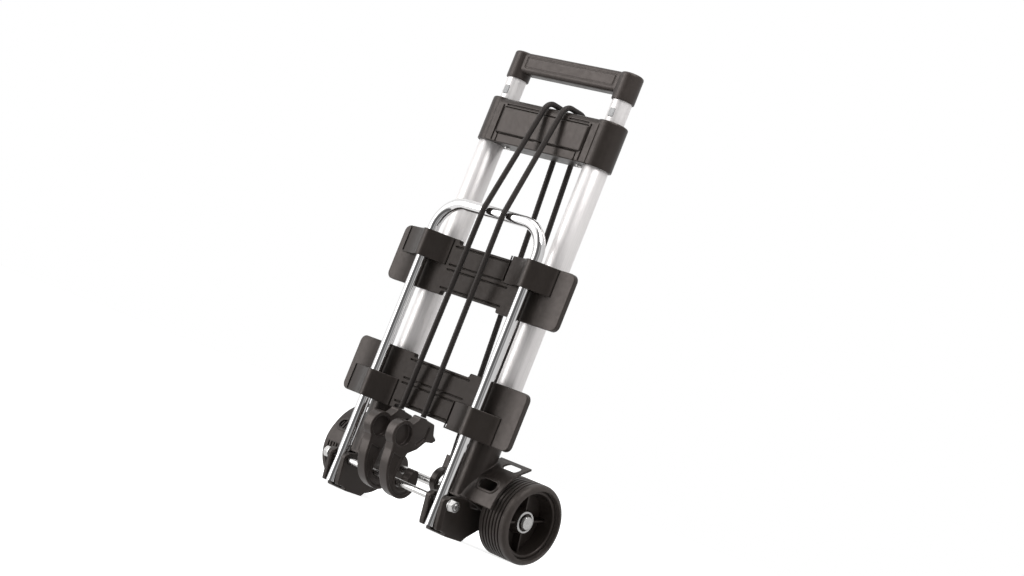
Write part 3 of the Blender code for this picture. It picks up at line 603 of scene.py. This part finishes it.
def bracket_mesh():
    """Right bracket and fender as the one moulding that they look like."""
    axle = (AXLE_Y, AXLE_Z)
    x_low, x_high = 69.5, 101.5
    tower_r, tower_top = 18.5, BRACKET[1].z
    outline = rounded([(2.0, GROUND, 1.5), (38.0, GROUND, 2.0), (43.0, -28.5, 3.0), (57.0, -17.0, 0.0)])
    outline += arc(axle, 16.0, -75.0, 90.0, 20)
    outline += rounded([(34.0, 40.0, 0.0), (24.0, 34.0, 4.0), (19.0, 13.0, 2.0), (15.0, 11.0, 2.0),
                        (-3.0, 8.0, 4.0), (-9.5, 3.0, 4.0), (-4.0, -27.0, 2.0), (-1.5, -33.0, 1.5)])
    profile = [(0.0, 5.0), (tower_r, 5.0)]
    profile += arc((tower_r - 1.6, tower_top - 1.6), 1.6, 0.0, 90.0, 5) + [(0.0, tower_top)]
    tower = lathe(profile, "Z", (TUBE_X, TUBE_Y))

    sheet = 2.5
    tip_deg = 122.0
    lean = math.radians(tip_deg - 90.0)
    tab = (14.0 * math.cos(lean), 14.0 * math.sin(lean))
    outer = arc(axle, FENDER_R, 180.0, tip_deg, 24)
    inner = arc(axle, FENDER_R - sheet, tip_deg, 180.0, 24)
    shell_outline = outer + [(outer[-1][0] + tab[0], outer[-1][1] + tab[1]),
                             (inner[0][0] + tab[0], inner[0][1] + tab[1])] + inner
    shell = prism(shell_outline, 92.0, FENDER[1].x, "X")
    web = arc(axle, FENDER_R - 1.0, 180.0, tip_deg, 24) + [(66.0, 32.0)]
    web += arc(axle, 13.0, 60.0, -120.0, 12) + [(30.0, 10.0)]
    web_solid = prism(web, FENDER[0].x - 3.0, FENDER[0].x + sheet, "X")

    # A gusset that sweeps from the tower's front into the fender's front sheet.
    rings = []
    for step in range(9):
        z = 13.0 + step * 6.5
        sheet_y = fender_point(z)
        rings.append([(TUBE_X + 7.0, TUBE_Y - 17.2, z), (TUBE_X + 14.0, max(TUBE_Y - 14.0, 0.0), z),
                      (FENDER[0].x + 3.0, max(sheet_y, TUBE_Y - 10.0) if z > 30.0 else sheet_y, z),
                      (FENDER[0].x + 9.0, sheet_y, z), (FENDER[0].x + 9.0, sheet_y + 2.0, z),
                      (TUBE_X + 10.0, TUBE_Y + 4.0, z)])
    gusset = loft(rings)

    # The raised rim round the main slot follows the sheet's curve.
    rim_slot = (119.5, 35.5)
    rim = prism(slot_outline(rim_slot, 15.4, 7.8), 10.0, 60.0, "Y", [slot_outline(rim_slot, 13.0, 5.4)])
    band = arc(axle, FENDER_R + 1.1, 180.0, tip_deg, 24) + arc(axle, FENDER_R - 0.5, tip_deg, 180.0, 24)
    raised_rim = boolean(rim, kept=[prism(band, 100.0, FENDER[1].x + 1.0, "X")])

    cuts = [
        prism([(-20.0, -32.0), (33.5, -32.0), (33.5, 10.2), (18.0, 10.2), (18.0, 25.0), (-20.0, 25.0)],
              LEG_X - 8.6, LEG_X + 8.6, "X"),
        lathe([(0.0, OUTER_TUBE[0].z - 0.3), (OUTER_R + 0.3, OUTER_TUBE[0].z - 0.3),
               (OUTER_R + 0.3, tower_top + 5.0), (0.0, tower_top + 5.0)], "Z", (TUBE_X, TUBE_Y)),
        prism(circle((0.0, 0.0), ROD_R + 0.3, 32), 60.0, 120.0, "X"),
        prism(circle(axle, AXLE_R + 0.3, 32), 60.0, 120.0, "X"),
        prism(slot_outline(rim_slot, 13.0, 5.4), 10.0, 60.0, "Y"),
        prism(slot_outline((122.0, 61.2), 11.5, 3.2), 30.0, 75.0, "Y"),
        # The chamfer down the front outer edge of the cheek.
        loft([[(x_high + 2.0, -16.0, 12.0), (x_high + 2.0, -5.5, 12.0), (x_high - 7.0, -16.0, 12.0)],
              [(x_high + 2.0, -8.0, -36.0), (x_high + 2.0, 4.0, -36.0), (x_high - 6.5, -6.0, -36.0)]]),
    ]
    foot = prism(outline, x_low, x_high, "X")
    return moulded([foot, tower, shell, web_solid, gusset, raised_rim], cuts, 0.6, 5)


def make_brackets():
    right = bracket_mesh()
    left = mirrored(right)
    put("bracket_right", right, "black_plastic", "frame", "bracket_right", "fender_right")
    put("bracket_left", left, "black_plastic", "frame", "bracket_left", "fender_left")


def make_rods():
    half = ROD[1].x
    edge = 1.0
    profile = [(0.0, -half), (ROD_R - edge, -half), (ROD_R, -half + edge), (ROD_R, half - edge),
               (ROD_R - edge, half), (0.0, half)]
    put("pivot_rod", lathe(profile, "X", segments=48), "steel", "frame", sharp_deg=30.0)
    profile = [(0.0, -AXLE_HALF), (AXLE_R - 0.5, -AXLE_HALF), (AXLE_R, -AXLE_HALF + 0.5),
               (AXLE_R, AXLE_HALF - 0.5), (AXLE_R - 0.5, AXLE_HALF), (0.0, AXLE_HALF)]
    put("axle", lathe(profile, "X", (AXLE_Y, AXLE_Z), 48), "steel", "frame", sharp_deg=30.0)
    for label, side in SIDES:
        nut = span("pivot_nut_" + label)
        low, high = (nut[0].x, nut[1].x) if side > 0 else (-nut[1].x, -nut[0].x)
        bore = ROD_R + 0.3
        # A flange, a hexagon and a turned collar, with the hexagon's corners taken off.
        hexagon = prism(circle((0.0, 0.0), 6.9, 6), low + 1.6, high, "X")
        turned = lathe([(bore, low), (6.7, low), (6.9, low + 0.5), (6.9, high - 1.2), (5.6, high),
                        (bore, high)], "X", segments=48)
        flange = lathe([(bore, low), (6.7, low), (6.9, low + 0.4), (6.9, low + 1.4), (6.5, low + 1.7),
                        (bore, low + 1.7)], "X", segments=48)
        mesh = boolean(boolean(hexagon, kept=[turned]), added=[flange])
        if side < 0:
            mesh = mirrored(mesh)
        put("pivot_nut_" + label, mesh, "steel", "frame", sharp_deg=30.0)


# ----------------------------------------------------------------- toe platform

def make_loop():
    """The chrome tube: two legs, a cross bar and round bends, open at the lower ends."""
    bend = 36.0
    corner = (LEG_X - bend, BAR_Z - bend)
    right = [(LEG_X, LOOP[0].z)] + arc(corner, bend, 0.0, 90.0, 40)
    path = [Vector((x, 0.0, z)) for x, z in right + [(-x, z) for x, z in reversed(right)]]
    segments, wall = 72, 1.0
    outer, inner = [[[point + side * (radius * math.cos(t)) + up * (radius * math.sin(t))
                      for t in (math.tau * k / segments for k in range(segments))]
                     for point, side, up in carried_frames(path)]
                    for radius in (LOOP_R, LOOP_R - wall)]
    # The bore runs out past both open ends, so that the cut leaves no skin there.
    past = Vector((0.0, 0.0, 2.0))
    inner[0] = [point - past for point in inner[0]]
    inner[-1] = [point - past for point in inner[-1]]
    hole = prism(circle((0.0, 0.0), ROD_R + 0.3, 32), -LEG_X - 15.0, LEG_X + 15.0, "X")
    put("platform_tube", boolean(loft(outer), cut=[loft(inner), hole]), "chrome", "platform")


def make_plates():
    """Load plates with a rim, a ridge and grooves across the middle."""
    half_mid = 46.0
    inset = 5.0
    corner = 8.0
    step = 2.0
    for name, (low, high) in PLATES.items():
        base, top = low.z, high.z
        outline = rounded([
            (-PLATE_HALF, base, corner), (-half_mid, base, step), (-half_mid, base + inset, step),
            (half_mid, base + inset, step), (half_mid, base, step), (PLATE_HALF, base, corner),
            (PLATE_HALF, top, corner), (half_mid, top, step), (half_mid, top - inset, step),
            (-half_mid, top - inset, step), (-half_mid, top, step), (-PLATE_HALF, top, corner)])
        halfway = (base + top) / 2.0
        cuts = []
        # Grooves above and below each of the two bands.
        for z in (base + inset + 3.4, halfway - 3.0, halfway + 3.0, top - inset - 3.4):
            groove = box_outline((-half_mid - 4.0, z - 0.8), (half_mid + 4.0, z + 0.8), 0.7)
            cuts.append(prism(groove, PLATE_FRONT - 2.0, PLATE_FRONT + 2.0, "Y"))
        for x in (-20.0, 8.0, 22.0):
            line = box_outline((x - 0.6, base + inset + 5.0), (x + 0.6, halfway - 4.5), 0.5)
            cuts.append(prism(line, PLATE_FRONT - 2.0, PLATE_FRONT + 1.4, "Y"))
        # Long pockets between stiffening ribs on the back.
        for x in (33.0 * (i - 3.5) for i in range(8)):
            pocket = box_outline((x - 14.0, base + inset + 4.0), (x + 14.0, top - inset - 4.0), 3.0)
            cuts.append(prism(pocket, PLATE_BACK - 1.6, PLATE_BACK + 2.0, "Y"))
        mesh = moulded([prism(outline, PLATE_FRONT, PLATE_BACK, "Y")], cuts, 0.6, 2)
        put(name, mesh, "black_plastic", "platform", finish="plate")


def clip_mesh(leg_x, low, high):
    """A strap that swells over the tube and has a slit at its inner end."""
    seat = PLATE_FRONT - 0.3
    clear = LOOP_R + 0.3
    crest = arc((0.0, 0.0), LOOP_R + 3.0, 235.0, 305.0, 16)
    rise = curved([(-52.0, 9.4), (-45.0, 8.2), (-38.0, 7.1), (-30.0, 5.3), (-22.0, 2.5), (-14.0, -1.9),
                   crest[0], crest[3]])
    fall = curved([crest[-4], crest[-1], (12.0, -3.4), (17.0, 1.0), (21.5, 4.8), (25.5, 7.5), (30.0, 9.2),
                   (35.0, 9.8)])
    outline = [(-45.0, seat), *rise, *crest[1:], *fall[1:], (30.0, seat), (clear, seat)]
    outline += arc((0.0, 0.0), clear, 0.0, -180.0, 24) + [(-clear, seat)]
    outline = [(leg_x + a, b) for a, b in outline]
    slit = prism([(leg_x - 43.8, 0.0), (leg_x - 41.2, 0.0), (leg_x - 41.2, seat + 1.0),
                  (leg_x - 43.8, seat + 1.0)], low + 1.4, high + 1.0, "Z")
    return moulded([prism(outline, low, high, "Z")], [slit], 0.5, 4)


def make_clips():
    for label, _ in SIDES:
        for level in ("upper", "lower"):
            name = f"tube_clip_{level}_{label}"
            low, high = span(name)
            leg_x = -LEG_X if label == "left" else LEG_X
            put(name, clip_mesh(leg_x, low.z, high.z), "black_plastic", "platform")


# --------------------------------------------------------------- hooks and cords

DISC = (-19.0, 51.0)
CORD_Y = 5.5


def hook_mesh(centre_x):
    """Dished thumb disc, cord socket, spine with a pocket in each side, and an open jaw."""
    jaw = (8.5, 3.2)
    throat = (4.2, 4.8)
    outline = arc(DISC, 16.5, 62.0, 232.0, 40)
    outline += curved([(-29.0, 38.0), (-27.6, 31.0), (-25.4, 14.0), (-18.6, -1.5), (-7.6, -13.0),
                       (jaw[0], jaw[1] - 21.0), (26.0, -13.0)])
    outline += arc(jaw, 21.0, 270.0, 385.0, 30)[1:]
    outline += arc((22.0, 13.5), 5.2, 40.0, 190.0, 12)
    outline += arc(throat, 10.6, 15.0, -190.0, 40)
    outline += rounded([(-5.0, 22.0, 0.0), (-3.0, 33.0, 3.0), (9.0, 41.0, 3.0), (18.0, 52.0, 3.0),
                        (28.0, 53.5, 1.0), (33.0, 58.0, 1.5), (26.0, 62.0, 3.0), (21.0, 74.0, 3.0),
                        (-4.0, 77.0, 3.0)])
    half = 6.5
    body = prism(outline, centre_x - half, centre_x + half, "X")
    top = span("hook_right")[1].z
    socket = lathe([(0.0, 48.0), (5.2, 50.0), (half - 0.2, 56.0), (half - 0.2, top - 1.8),
                    (half - 1.4, top - 0.3), (0.0, top - 0.3)], "Z", (centre_x, CORD_Y), 48)
    bore = prism(circle((centre_x, CORD_Y), CORD_R + 0.25, 32), top - 2.5, top + 5.0, "Z")
    pocket = [(-8.5, 27.0)]
    pocket += curved([(-24.0, 36.0), (-22.6, 29.0), (-21.4, 13.0), (-15.0, -0.5), (-5.4, -10.3),
                      (8.0, -14.1), (22.0, -10.0)])
    pocket += arc((8.0, 3.5), 17.6, 270.0, 345.0, 14)[1:] + arc((6.0, 4.2), 14.4, 345.0, 205.0, 20)
    pocket += [(-9.5, 14.0)]
    cuts = [bore, prism(circle(DISC, 12.4, 64), centre_x + 1.0, centre_x + half + 3.0, "X"),
            prism(circle(DISC, 12.4, 64), centre_x - half - 3.0, centre_x - 1.0, "X")]
    depth = 1.6
    for low, high in ((centre_x + half - depth, centre_x + half + 2.0),
                      (centre_x - half - 2.0, centre_x - half + depth)):
        cuts.append(prism(pocket, low, high, "X"))
        cuts.append(prism(rounded([(0.0, 45.0, 1.5), (8.0, 45.5, 1.5), (15.5, 55.0, 1.5),
                                   (16.0, 68.0, 1.5), (12.8, 71.0, 1.5), (12.5, 56.0, 1.5)]),
                          low, high, "X"))
    return moulded([body, socket], cuts, 0.45, 6)


def anchor_mesh(centre_x, top):
    """The cord's moulded eye round the axle, with a raised collar at its neck."""
    eye_r = 10.5
    centre = (AXLE_Y, AXLE_Z + eye_r - AXLE_R - 0.3)
    outer_r, neck, half = 17.0, 5.5, 4.5
    neck_deg = math.degrees(math.asin(neck / outer_r))
    outline = arc(centre, outer_r, 90.0 + neck_deg, 450.0 - neck_deg, 60)
    outline += [(centre[0] + neck, top), (centre[0] - neck, top)]
    body = prism(outline, centre_x - half, centre_x + half, "X", [circle(centre, eye_r, 64)])
    neck_tube = lathe([(0.0, top - 14.0), (4.4, top - 14.0), (4.4, top - 1.0), (3.8, top), (0.0, top)],
                      "Z", (centre_x, AXLE_Y), 40)
    bore = prism(circle((centre_x, AXLE_Y), CORD_R + 0.2, 32), top - 2.0, top + 3.0, "Z")
    pocket = arc(centre, 15.2, 130.0, 410.0, 40) + arc(centre, 12.4, 410.0, 130.0, 40)
    pockets = [prism(pocket, low, high, "X")
               for low, high in ((centre_x + half - 1.0, centre_x + half + 2.0),
                                 (centre_x - half - 2.0, centre_x - half + 1.0))]
    return moulded([body, neck_tube], [bore, *pockets], 0.5, 4)


def evenly_spaced(route, spacing):
    """Points a fixed distance apart along a route, both of its ends included."""
    lengths = [(b - a).length for a, b in zip(route, route[1:])]
    count = round(sum(lengths) / spacing)
    step = sum(lengths) / count
    points = [route[0]]
    walked = 0.0
    for a, b, length in zip(route, route[1:], lengths):
        while len(points) < count and len(points) * step <= walked + length:
            points.append(a.lerp(b, (len(points) * step - walked) / length))
        walked += length
    points.append(route[-1])
    return points


def braided_rings(path, radius):
    """Rings of a round cord whose surface is a braid of two sets of strands that cross."""
    around = 32
    strands = 8
    turn_mm = 16.0
    relief = 0.16
    rings = []
    walked = 0.0
    frames = carried_frames(path)
    for i, (point, side, up) in enumerate(frames):
        if i:
            walked += (point - frames[i - 1][0]).length
        phase = math.pi * walked / turn_mm
        ring = []
        for k in range(around):
            t = math.tau * k / around
            weave = max(math.cos(strands * (t + phase)), math.cos(strands * (t - phase)))
            r = radius - relief + relief * weave
            ring.append(point + side * (r * math.cos(t)) + up * (r * math.sin(t)))
        rings.append(ring)
    return rings


def put_cord_part(name, rings, node):
    """One stretch of a cord, on no body, with its place baked into its mesh."""
    part = put(name, loft(rings), "cord_sheath", None, node, sharp_deg=80.0)
    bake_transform(part)


def make_cords():
    """Cords from their hooks, over the cross bar and the crosshead, to their eyes."""
    bend = HEAD_EDGE + CORD_R + 1.6
    edge_z = HEAD[1].z - HEAD_EDGE
    front_bend = arc((HEAD_FRONT + HEAD_EDGE, edge_z), bend, 169.0, 90.0, 12)
    back_bend = arc((HEAD_BACK - HEAD_EDGE, edge_z), bend, 90.0, 5.0, 12)
    bar_y = -LOOP_R - CORD_R - 1.3
    for label, bar_x, head_x in (("left", -9.0, -3.0), ("right", 23.0, 25.0)):
        node = "cord_" + label
        hook = span("hook_" + label)
        anchor = span("cord_anchor_" + label)
        hook_x, anchor_x = middle(hook).x, middle(anchor).x
        at_hook = Vector((hook_x, CORD_Y, hook[1].z + 0.4))
        at_bar = Vector((bar_x, bar_y, BAR_Z))
        over_head = [Vector((head_x, y, z)) for y, z in front_bend + back_bend]
        at_anchor = Vector((anchor_x, AXLE_Y, anchor[1].z + 0.3))
        path = evenly_spaced([at_hook, at_bar, *over_head, at_anchor], 0.55)
        rings = braided_rings(path, CORD_R)
        split = min(range(len(path)), key=lambda i: (path[i] - at_bar).length)
        head = max(range(len(path)), key=lambda i: path[i].z)
        # The cord is cut at the cross bar and at the top of the crosshead; only the last stretch rides on
        # the frame.
        put_cord_part(node + "_lower", rings[:split + 1], node)
        put_cord_part(node + "_upper", rings[split:head + 1], node)
        put(node, loft(rings[head:]), "cord_sheath", "frame", sharp_deg=80.0)
        put("hook_" + label, hook_mesh(hook_x), "hook_plastic", "frame")
        put("cord_anchor_" + label, anchor_mesh(anchor_x, anchor[1].z), "hook_plastic", "frame")


# --------------------------------------------------------------------- wheels

def wheel_rib(angle_deg, near_r, far_r, near_half, far_half, low, high):
    """A thin rib along a radius of the wheel, which may taper outwards."""
    angle = math.radians(angle_deg)
    along = Vector((math.cos(angle), math.sin(angle)))
    across = Vector((-along.y, along.x))
    near, far = along * near_r, along * far_r
    return prism([tuple(near - across * near_half), tuple(far - across * far_half),
                  tuple(far + across * far_half), tuple(near + across * near_half)], low, high, "X")


def make_wheels():
    """Ribbed tyre, deep rim with thin ribs, washer and cap, outward from the inner face."""
    width = WHEEL_X[1] - WHEEL_X[0]
    rim_r = 39.0
    shoulder = 4.5
    wall = 6.0
    first_groove, pitch, groove_floor = 5.8, 4.7, WHEEL_R - 2.6
    tread = [(WHEEL_R - wall + wall * math.sin(t), width - wall + wall * math.cos(t))
             for t in (math.radians(9.0 * i) for i in range(11))]
    for i in reversed(range(7)):
        x = first_groove + pitch * i
        tread += [(WHEEL_R, x + 1.3), (WHEEL_R - 0.3, x + 1.0), (groove_floor, x + 0.7),
                  (groove_floor, x - 0.7), (WHEEL_R - 0.3, x - 1.0), (WHEEL_R, x - 1.3)]
    tread += [(WHEEL_R - shoulder + a, shoulder + b)
              for b, a in arc((0.0, 0.0), shoulder, 0.0, -90.0, 8)]
    tyre = [(rim_r + 0.3, 0.5), (rim_r + 0.3, width - 1.2), (rim_r + 0.6, width - 0.4)] + tread

    hub_inner, hub_outer, hub_r = -6.0, 29.0, 13.2
    web = (14.0, 18.0)
    edge = 39.0
    rim = [
        (AXLE_R + 0.3, hub_inner), (AXLE_R + 0.3, hub_outer), (hub_r - 0.6, hub_outer),
        (hub_r, hub_outer - 0.6), (hub_r + 2.5, web[1]), (rim_r - 4.7, web[1]), (rim_r - 4.2, edge - 1.0),
        (rim_r - 3.6, edge - 0.2), (rim_r - 2.9, edge), (rim_r - 0.9, edge), (rim_r - 0.2, edge - 0.4),
        (rim_r, edge - 1.2), (rim_r, 1.0), (rim_r - 3.0, 1.0), (rim_r - 3.5, web[0]), (hub_r, web[0]),
        (hub_r - 3.0, hub_inner),
    ]
    first_rib_deg, near_r, far_r = 14.0, hub_r - 2.5, rim_r - 1.5
    ribs = [wheel_rib(first_rib_deg + 90.0 * i, near_r, far_r, 1.1, 0.9, web[1] - 1.0, hub_outer - 0.8)
            for i in range(4)]
    ribs += [wheel_rib(first_rib_deg + 45.0 * i, near_r, far_r, 1.0, 1.0, 5.0, web[0] + 1.0)
             for i in range(8)]
    washer_r, groove_r, lip = 12.6, 9.9, hub_outer + 2.0
    washer = [(groove_r, hub_outer + 0.3), (washer_r - 0.2, hub_outer + 0.3), (washer_r, hub_outer + 0.5),
              (washer_r, lip - 0.4), (washer_r - 0.5, lip), (groove_r + 0.4, lip), (groove_r, lip - 0.4)]
    rim_mesh = boolean(lathe(rim, "X", segments=144), added=ribs)
    meshes = {"tyre": (lathe(tyre, "X", segments=160), "tyre_rubber"),
              "rim": (rim_mesh, "rim_plastic"),
              "wheel_washer": (lathe(washer, "X", segments=72), "steel")}
    low = lip - 1.0 + 0.3
    tip = AXLE_HALF + 2.4 - WHEEL_X[0]
    end = AXLE_HALF + 0.3 - WHEEL_X[0]
    cap = [(AXLE_R + 0.3, low), (7.6, low), (7.8, low + 0.2), (7.8, tip - 1.6)]
    cap += arc((6.4, tip - 1.4), 1.4, 0.0, 90.0, 6) + [(4.6, tip - 0.5), (0.0, tip - 0.5), (0.0, end),
                                                       (AXLE_R + 0.3, end)]
    meshes["axle_cap"] = (lathe(cap, "X", segments=64), "steel")
    for node, (mesh, slot) in meshes.items():
        mesh.transform(Matrix.Translation((WHEEL_X[0], AXLE_Y, AXLE_Z)))
        for label, side in SIDES:
            half = mirrored(mesh) if side < 0 else mesh.copy()
            put(f"{node}_{label}", half, slot, "wheel_" + label, sharp_deg=35.0)


# ------------------------------------------------------ stage, light and camera

def camera_place():
    return PIVOT + Vector((1.5434, -1.5720, 0.0824))


def make_stage():
    """A wide round floor of pale paper, lifted for the camera and clear to mirror rays."""
    radius = 9.0
    bm = bmesh.new()
    bmesh.ops.create_circle(bm, cap_ends=True, segments=128, radius=radius)
    mesh = bpy.data.meshes.new("studio_floor")
    bm.to_mesh(mesh)
    bm.free()
    floor = bpy.data.objects.new("studio_floor", mesh)
    bpy.context.scene.collection.objects.link(floor)
    finish = Finish("pale_paper", (0.86, 0.86, 0.86), 0.9)
    finish.shader.inputs["Specular IOR Level"].default_value = 0.0
    finish.shader.inputs["Emission Color"].default_value = (1.0, 1.0, 1.0, 1.0)
    path = finish.tree.nodes.new("ShaderNodeLightPath")
    finish.link(finish.ranged(path.outputs["Is Camera Ray"], 0.0, 0.8, 0.0, 1.0),
                finish.shader.inputs["Emission Strength"])
    # Bright metal mirrors the studio's walls below the horizon too, so its stripes run on.
    clear = finish.tree.nodes.new("ShaderNodeBsdfTransparent")
    mix = finish.tree.nodes.new("ShaderNodeMixShader")
    finish.link(path.outputs["Is Glossy Ray"], mix.inputs["Fac"])
    finish.link(finish.shader.outputs["BSDF"], mix.inputs[1])
    finish.link(clear.outputs["BSDF"], mix.inputs[2])
    finish.link(mix.outputs["Shader"], finish.tree.nodes["Material Output"].inputs["Surface"])
    mesh.materials.append(finish.material)


def aim(thing, target):
    thing.rotation_euler = (target - thing.location).to_track_quat("-Z", "Y").to_euler()


def softbox(name, azimuth_deg, elevation_deg, distance, size, power):
    """A soft rectangle of light that looks at the middle of the cart."""
    target = Vector((0.0, 0.0, 0.3))
    azimuth, elevation = math.radians(azimuth_deg), math.radians(elevation_deg)
    light = bpy.data.lights.new(name, "AREA")
    light.shape = "RECTANGLE"
    light.size, light.size_y = size
    light.energy = power
    lamp = bpy.data.objects.new(name, light)
    lamp.location = target + distance * Vector((math.cos(elevation) * math.cos(azimuth),
                                                math.cos(elevation) * math.sin(azimuth),
                                                math.sin(elevation)))
    bpy.context.scene.collection.objects.link(lamp)
    aim(lamp, target)


STUDIO = (
    # (degrees to the right of the camera's side, brightness)
    (-180.0, 0.9), (-62.0, 0.9), (-50.0, 0.14), (-14.0, 0.10), (-5.0, 0.40), (3.0, 0.36), (9.0, 0.20),
    (24.0, 0.26), (34.0, 0.66), (100.0, 0.60), (150.0, 0.75), (180.0, 0.9),
)


def make_world():
    """White to the eye; in reflections a bright tent with a dark gap on the camera's side."""
    world = bpy.data.worlds.new("studio")
    bpy.context.scene.world = world
    world.use_nodes = True
    tree = world.node_tree
    place = camera_place() - PIVOT
    mapping = tree.nodes.new("ShaderNodeMapping")
    mapping.inputs["Rotation"].default_value = (0.0, 0.0, -math.atan2(place.y, place.x))
    around = tree.nodes.new("ShaderNodeTexGradient")
    around.gradient_type = "RADIAL"
    ramp = tree.nodes.new("ShaderNodeValToRGB")
    while len(ramp.color_ramp.elements) < len(STUDIO):
        ramp.color_ramp.elements.new(0.5)
    for element, (degrees, value) in zip(ramp.color_ramp.elements, STUDIO):
        element.position = 0.5 + degrees / 360.0
        element.color = (value, value, value, 1.0)
    mix = tree.nodes.new("ShaderNodeMix")
    mix.data_type = "RGBA"
    mix.inputs["B"].default_value = (1.0, 1.0, 1.0, 1.0)
    tree.links.new(tree.nodes.new("ShaderNodeTexCoord").outputs["Generated"], mapping.inputs["Vector"])
    tree.links.new(mapping.outputs["Vector"], around.inputs["Vector"])
    tree.links.new(around.outputs["Fac"], ramp.inputs["Fac"])
    tree.links.new(ramp.outputs["Color"], mix.inputs["A"])
    path = tree.nodes.new("ShaderNodeLightPath")
    tree.links.new(path.outputs["Is Camera Ray"], mix.inputs["Factor"])
    tree.links.new(mix.outputs["Result"], tree.nodes["Background"].inputs["Color"])


def make_lights():
    make_world()
    softbox("key", 230.0, 8.0, 2.4, (1.0, 2.4), 23.0)
    softbox("fill", 325.0, 55.0, 1.0, (0.5, 0.5), 3.6)
    softbox("top", 270.0, 78.0, 2.4, (2.2, 1.6), 12.0)


def make_camera():
    camera = bpy.data.cameras.new("camera")
    camera.sensor_width = 36.0
    camera.lens = 68.661
    camera.clip_end = 50.0
    holder = bpy.data.objects.new("camera", camera)
    holder.location = camera_place()
    holder.rotation_euler = (1.6524, -0.3783, 0.7239)
    bpy.context.scene.collection.objects.link(holder)
    bpy.context.scene.camera = holder
    bpy.context.scene.view_settings.view_transform = "Standard"


def dress_hidden_nodes():
    """Bushes and feet inside the tubes keep their CAD shape and get the grey plastic."""
    for node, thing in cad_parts.items():
        if node.startswith(("guide_bush", "tube_foot")):
            for place in thing.material_slots:
                place.material = MATERIALS["grey_plastic"]


make_outer_tubes()
make_inner_tubes()
make_grip()
make_crosshead()
make_brackets()
make_rods()
make_loop()
make_plates()
make_clips()
make_cords()
make_wheels()
dress_hidden_nodes()
make_stage()
make_lights()
make_camera()
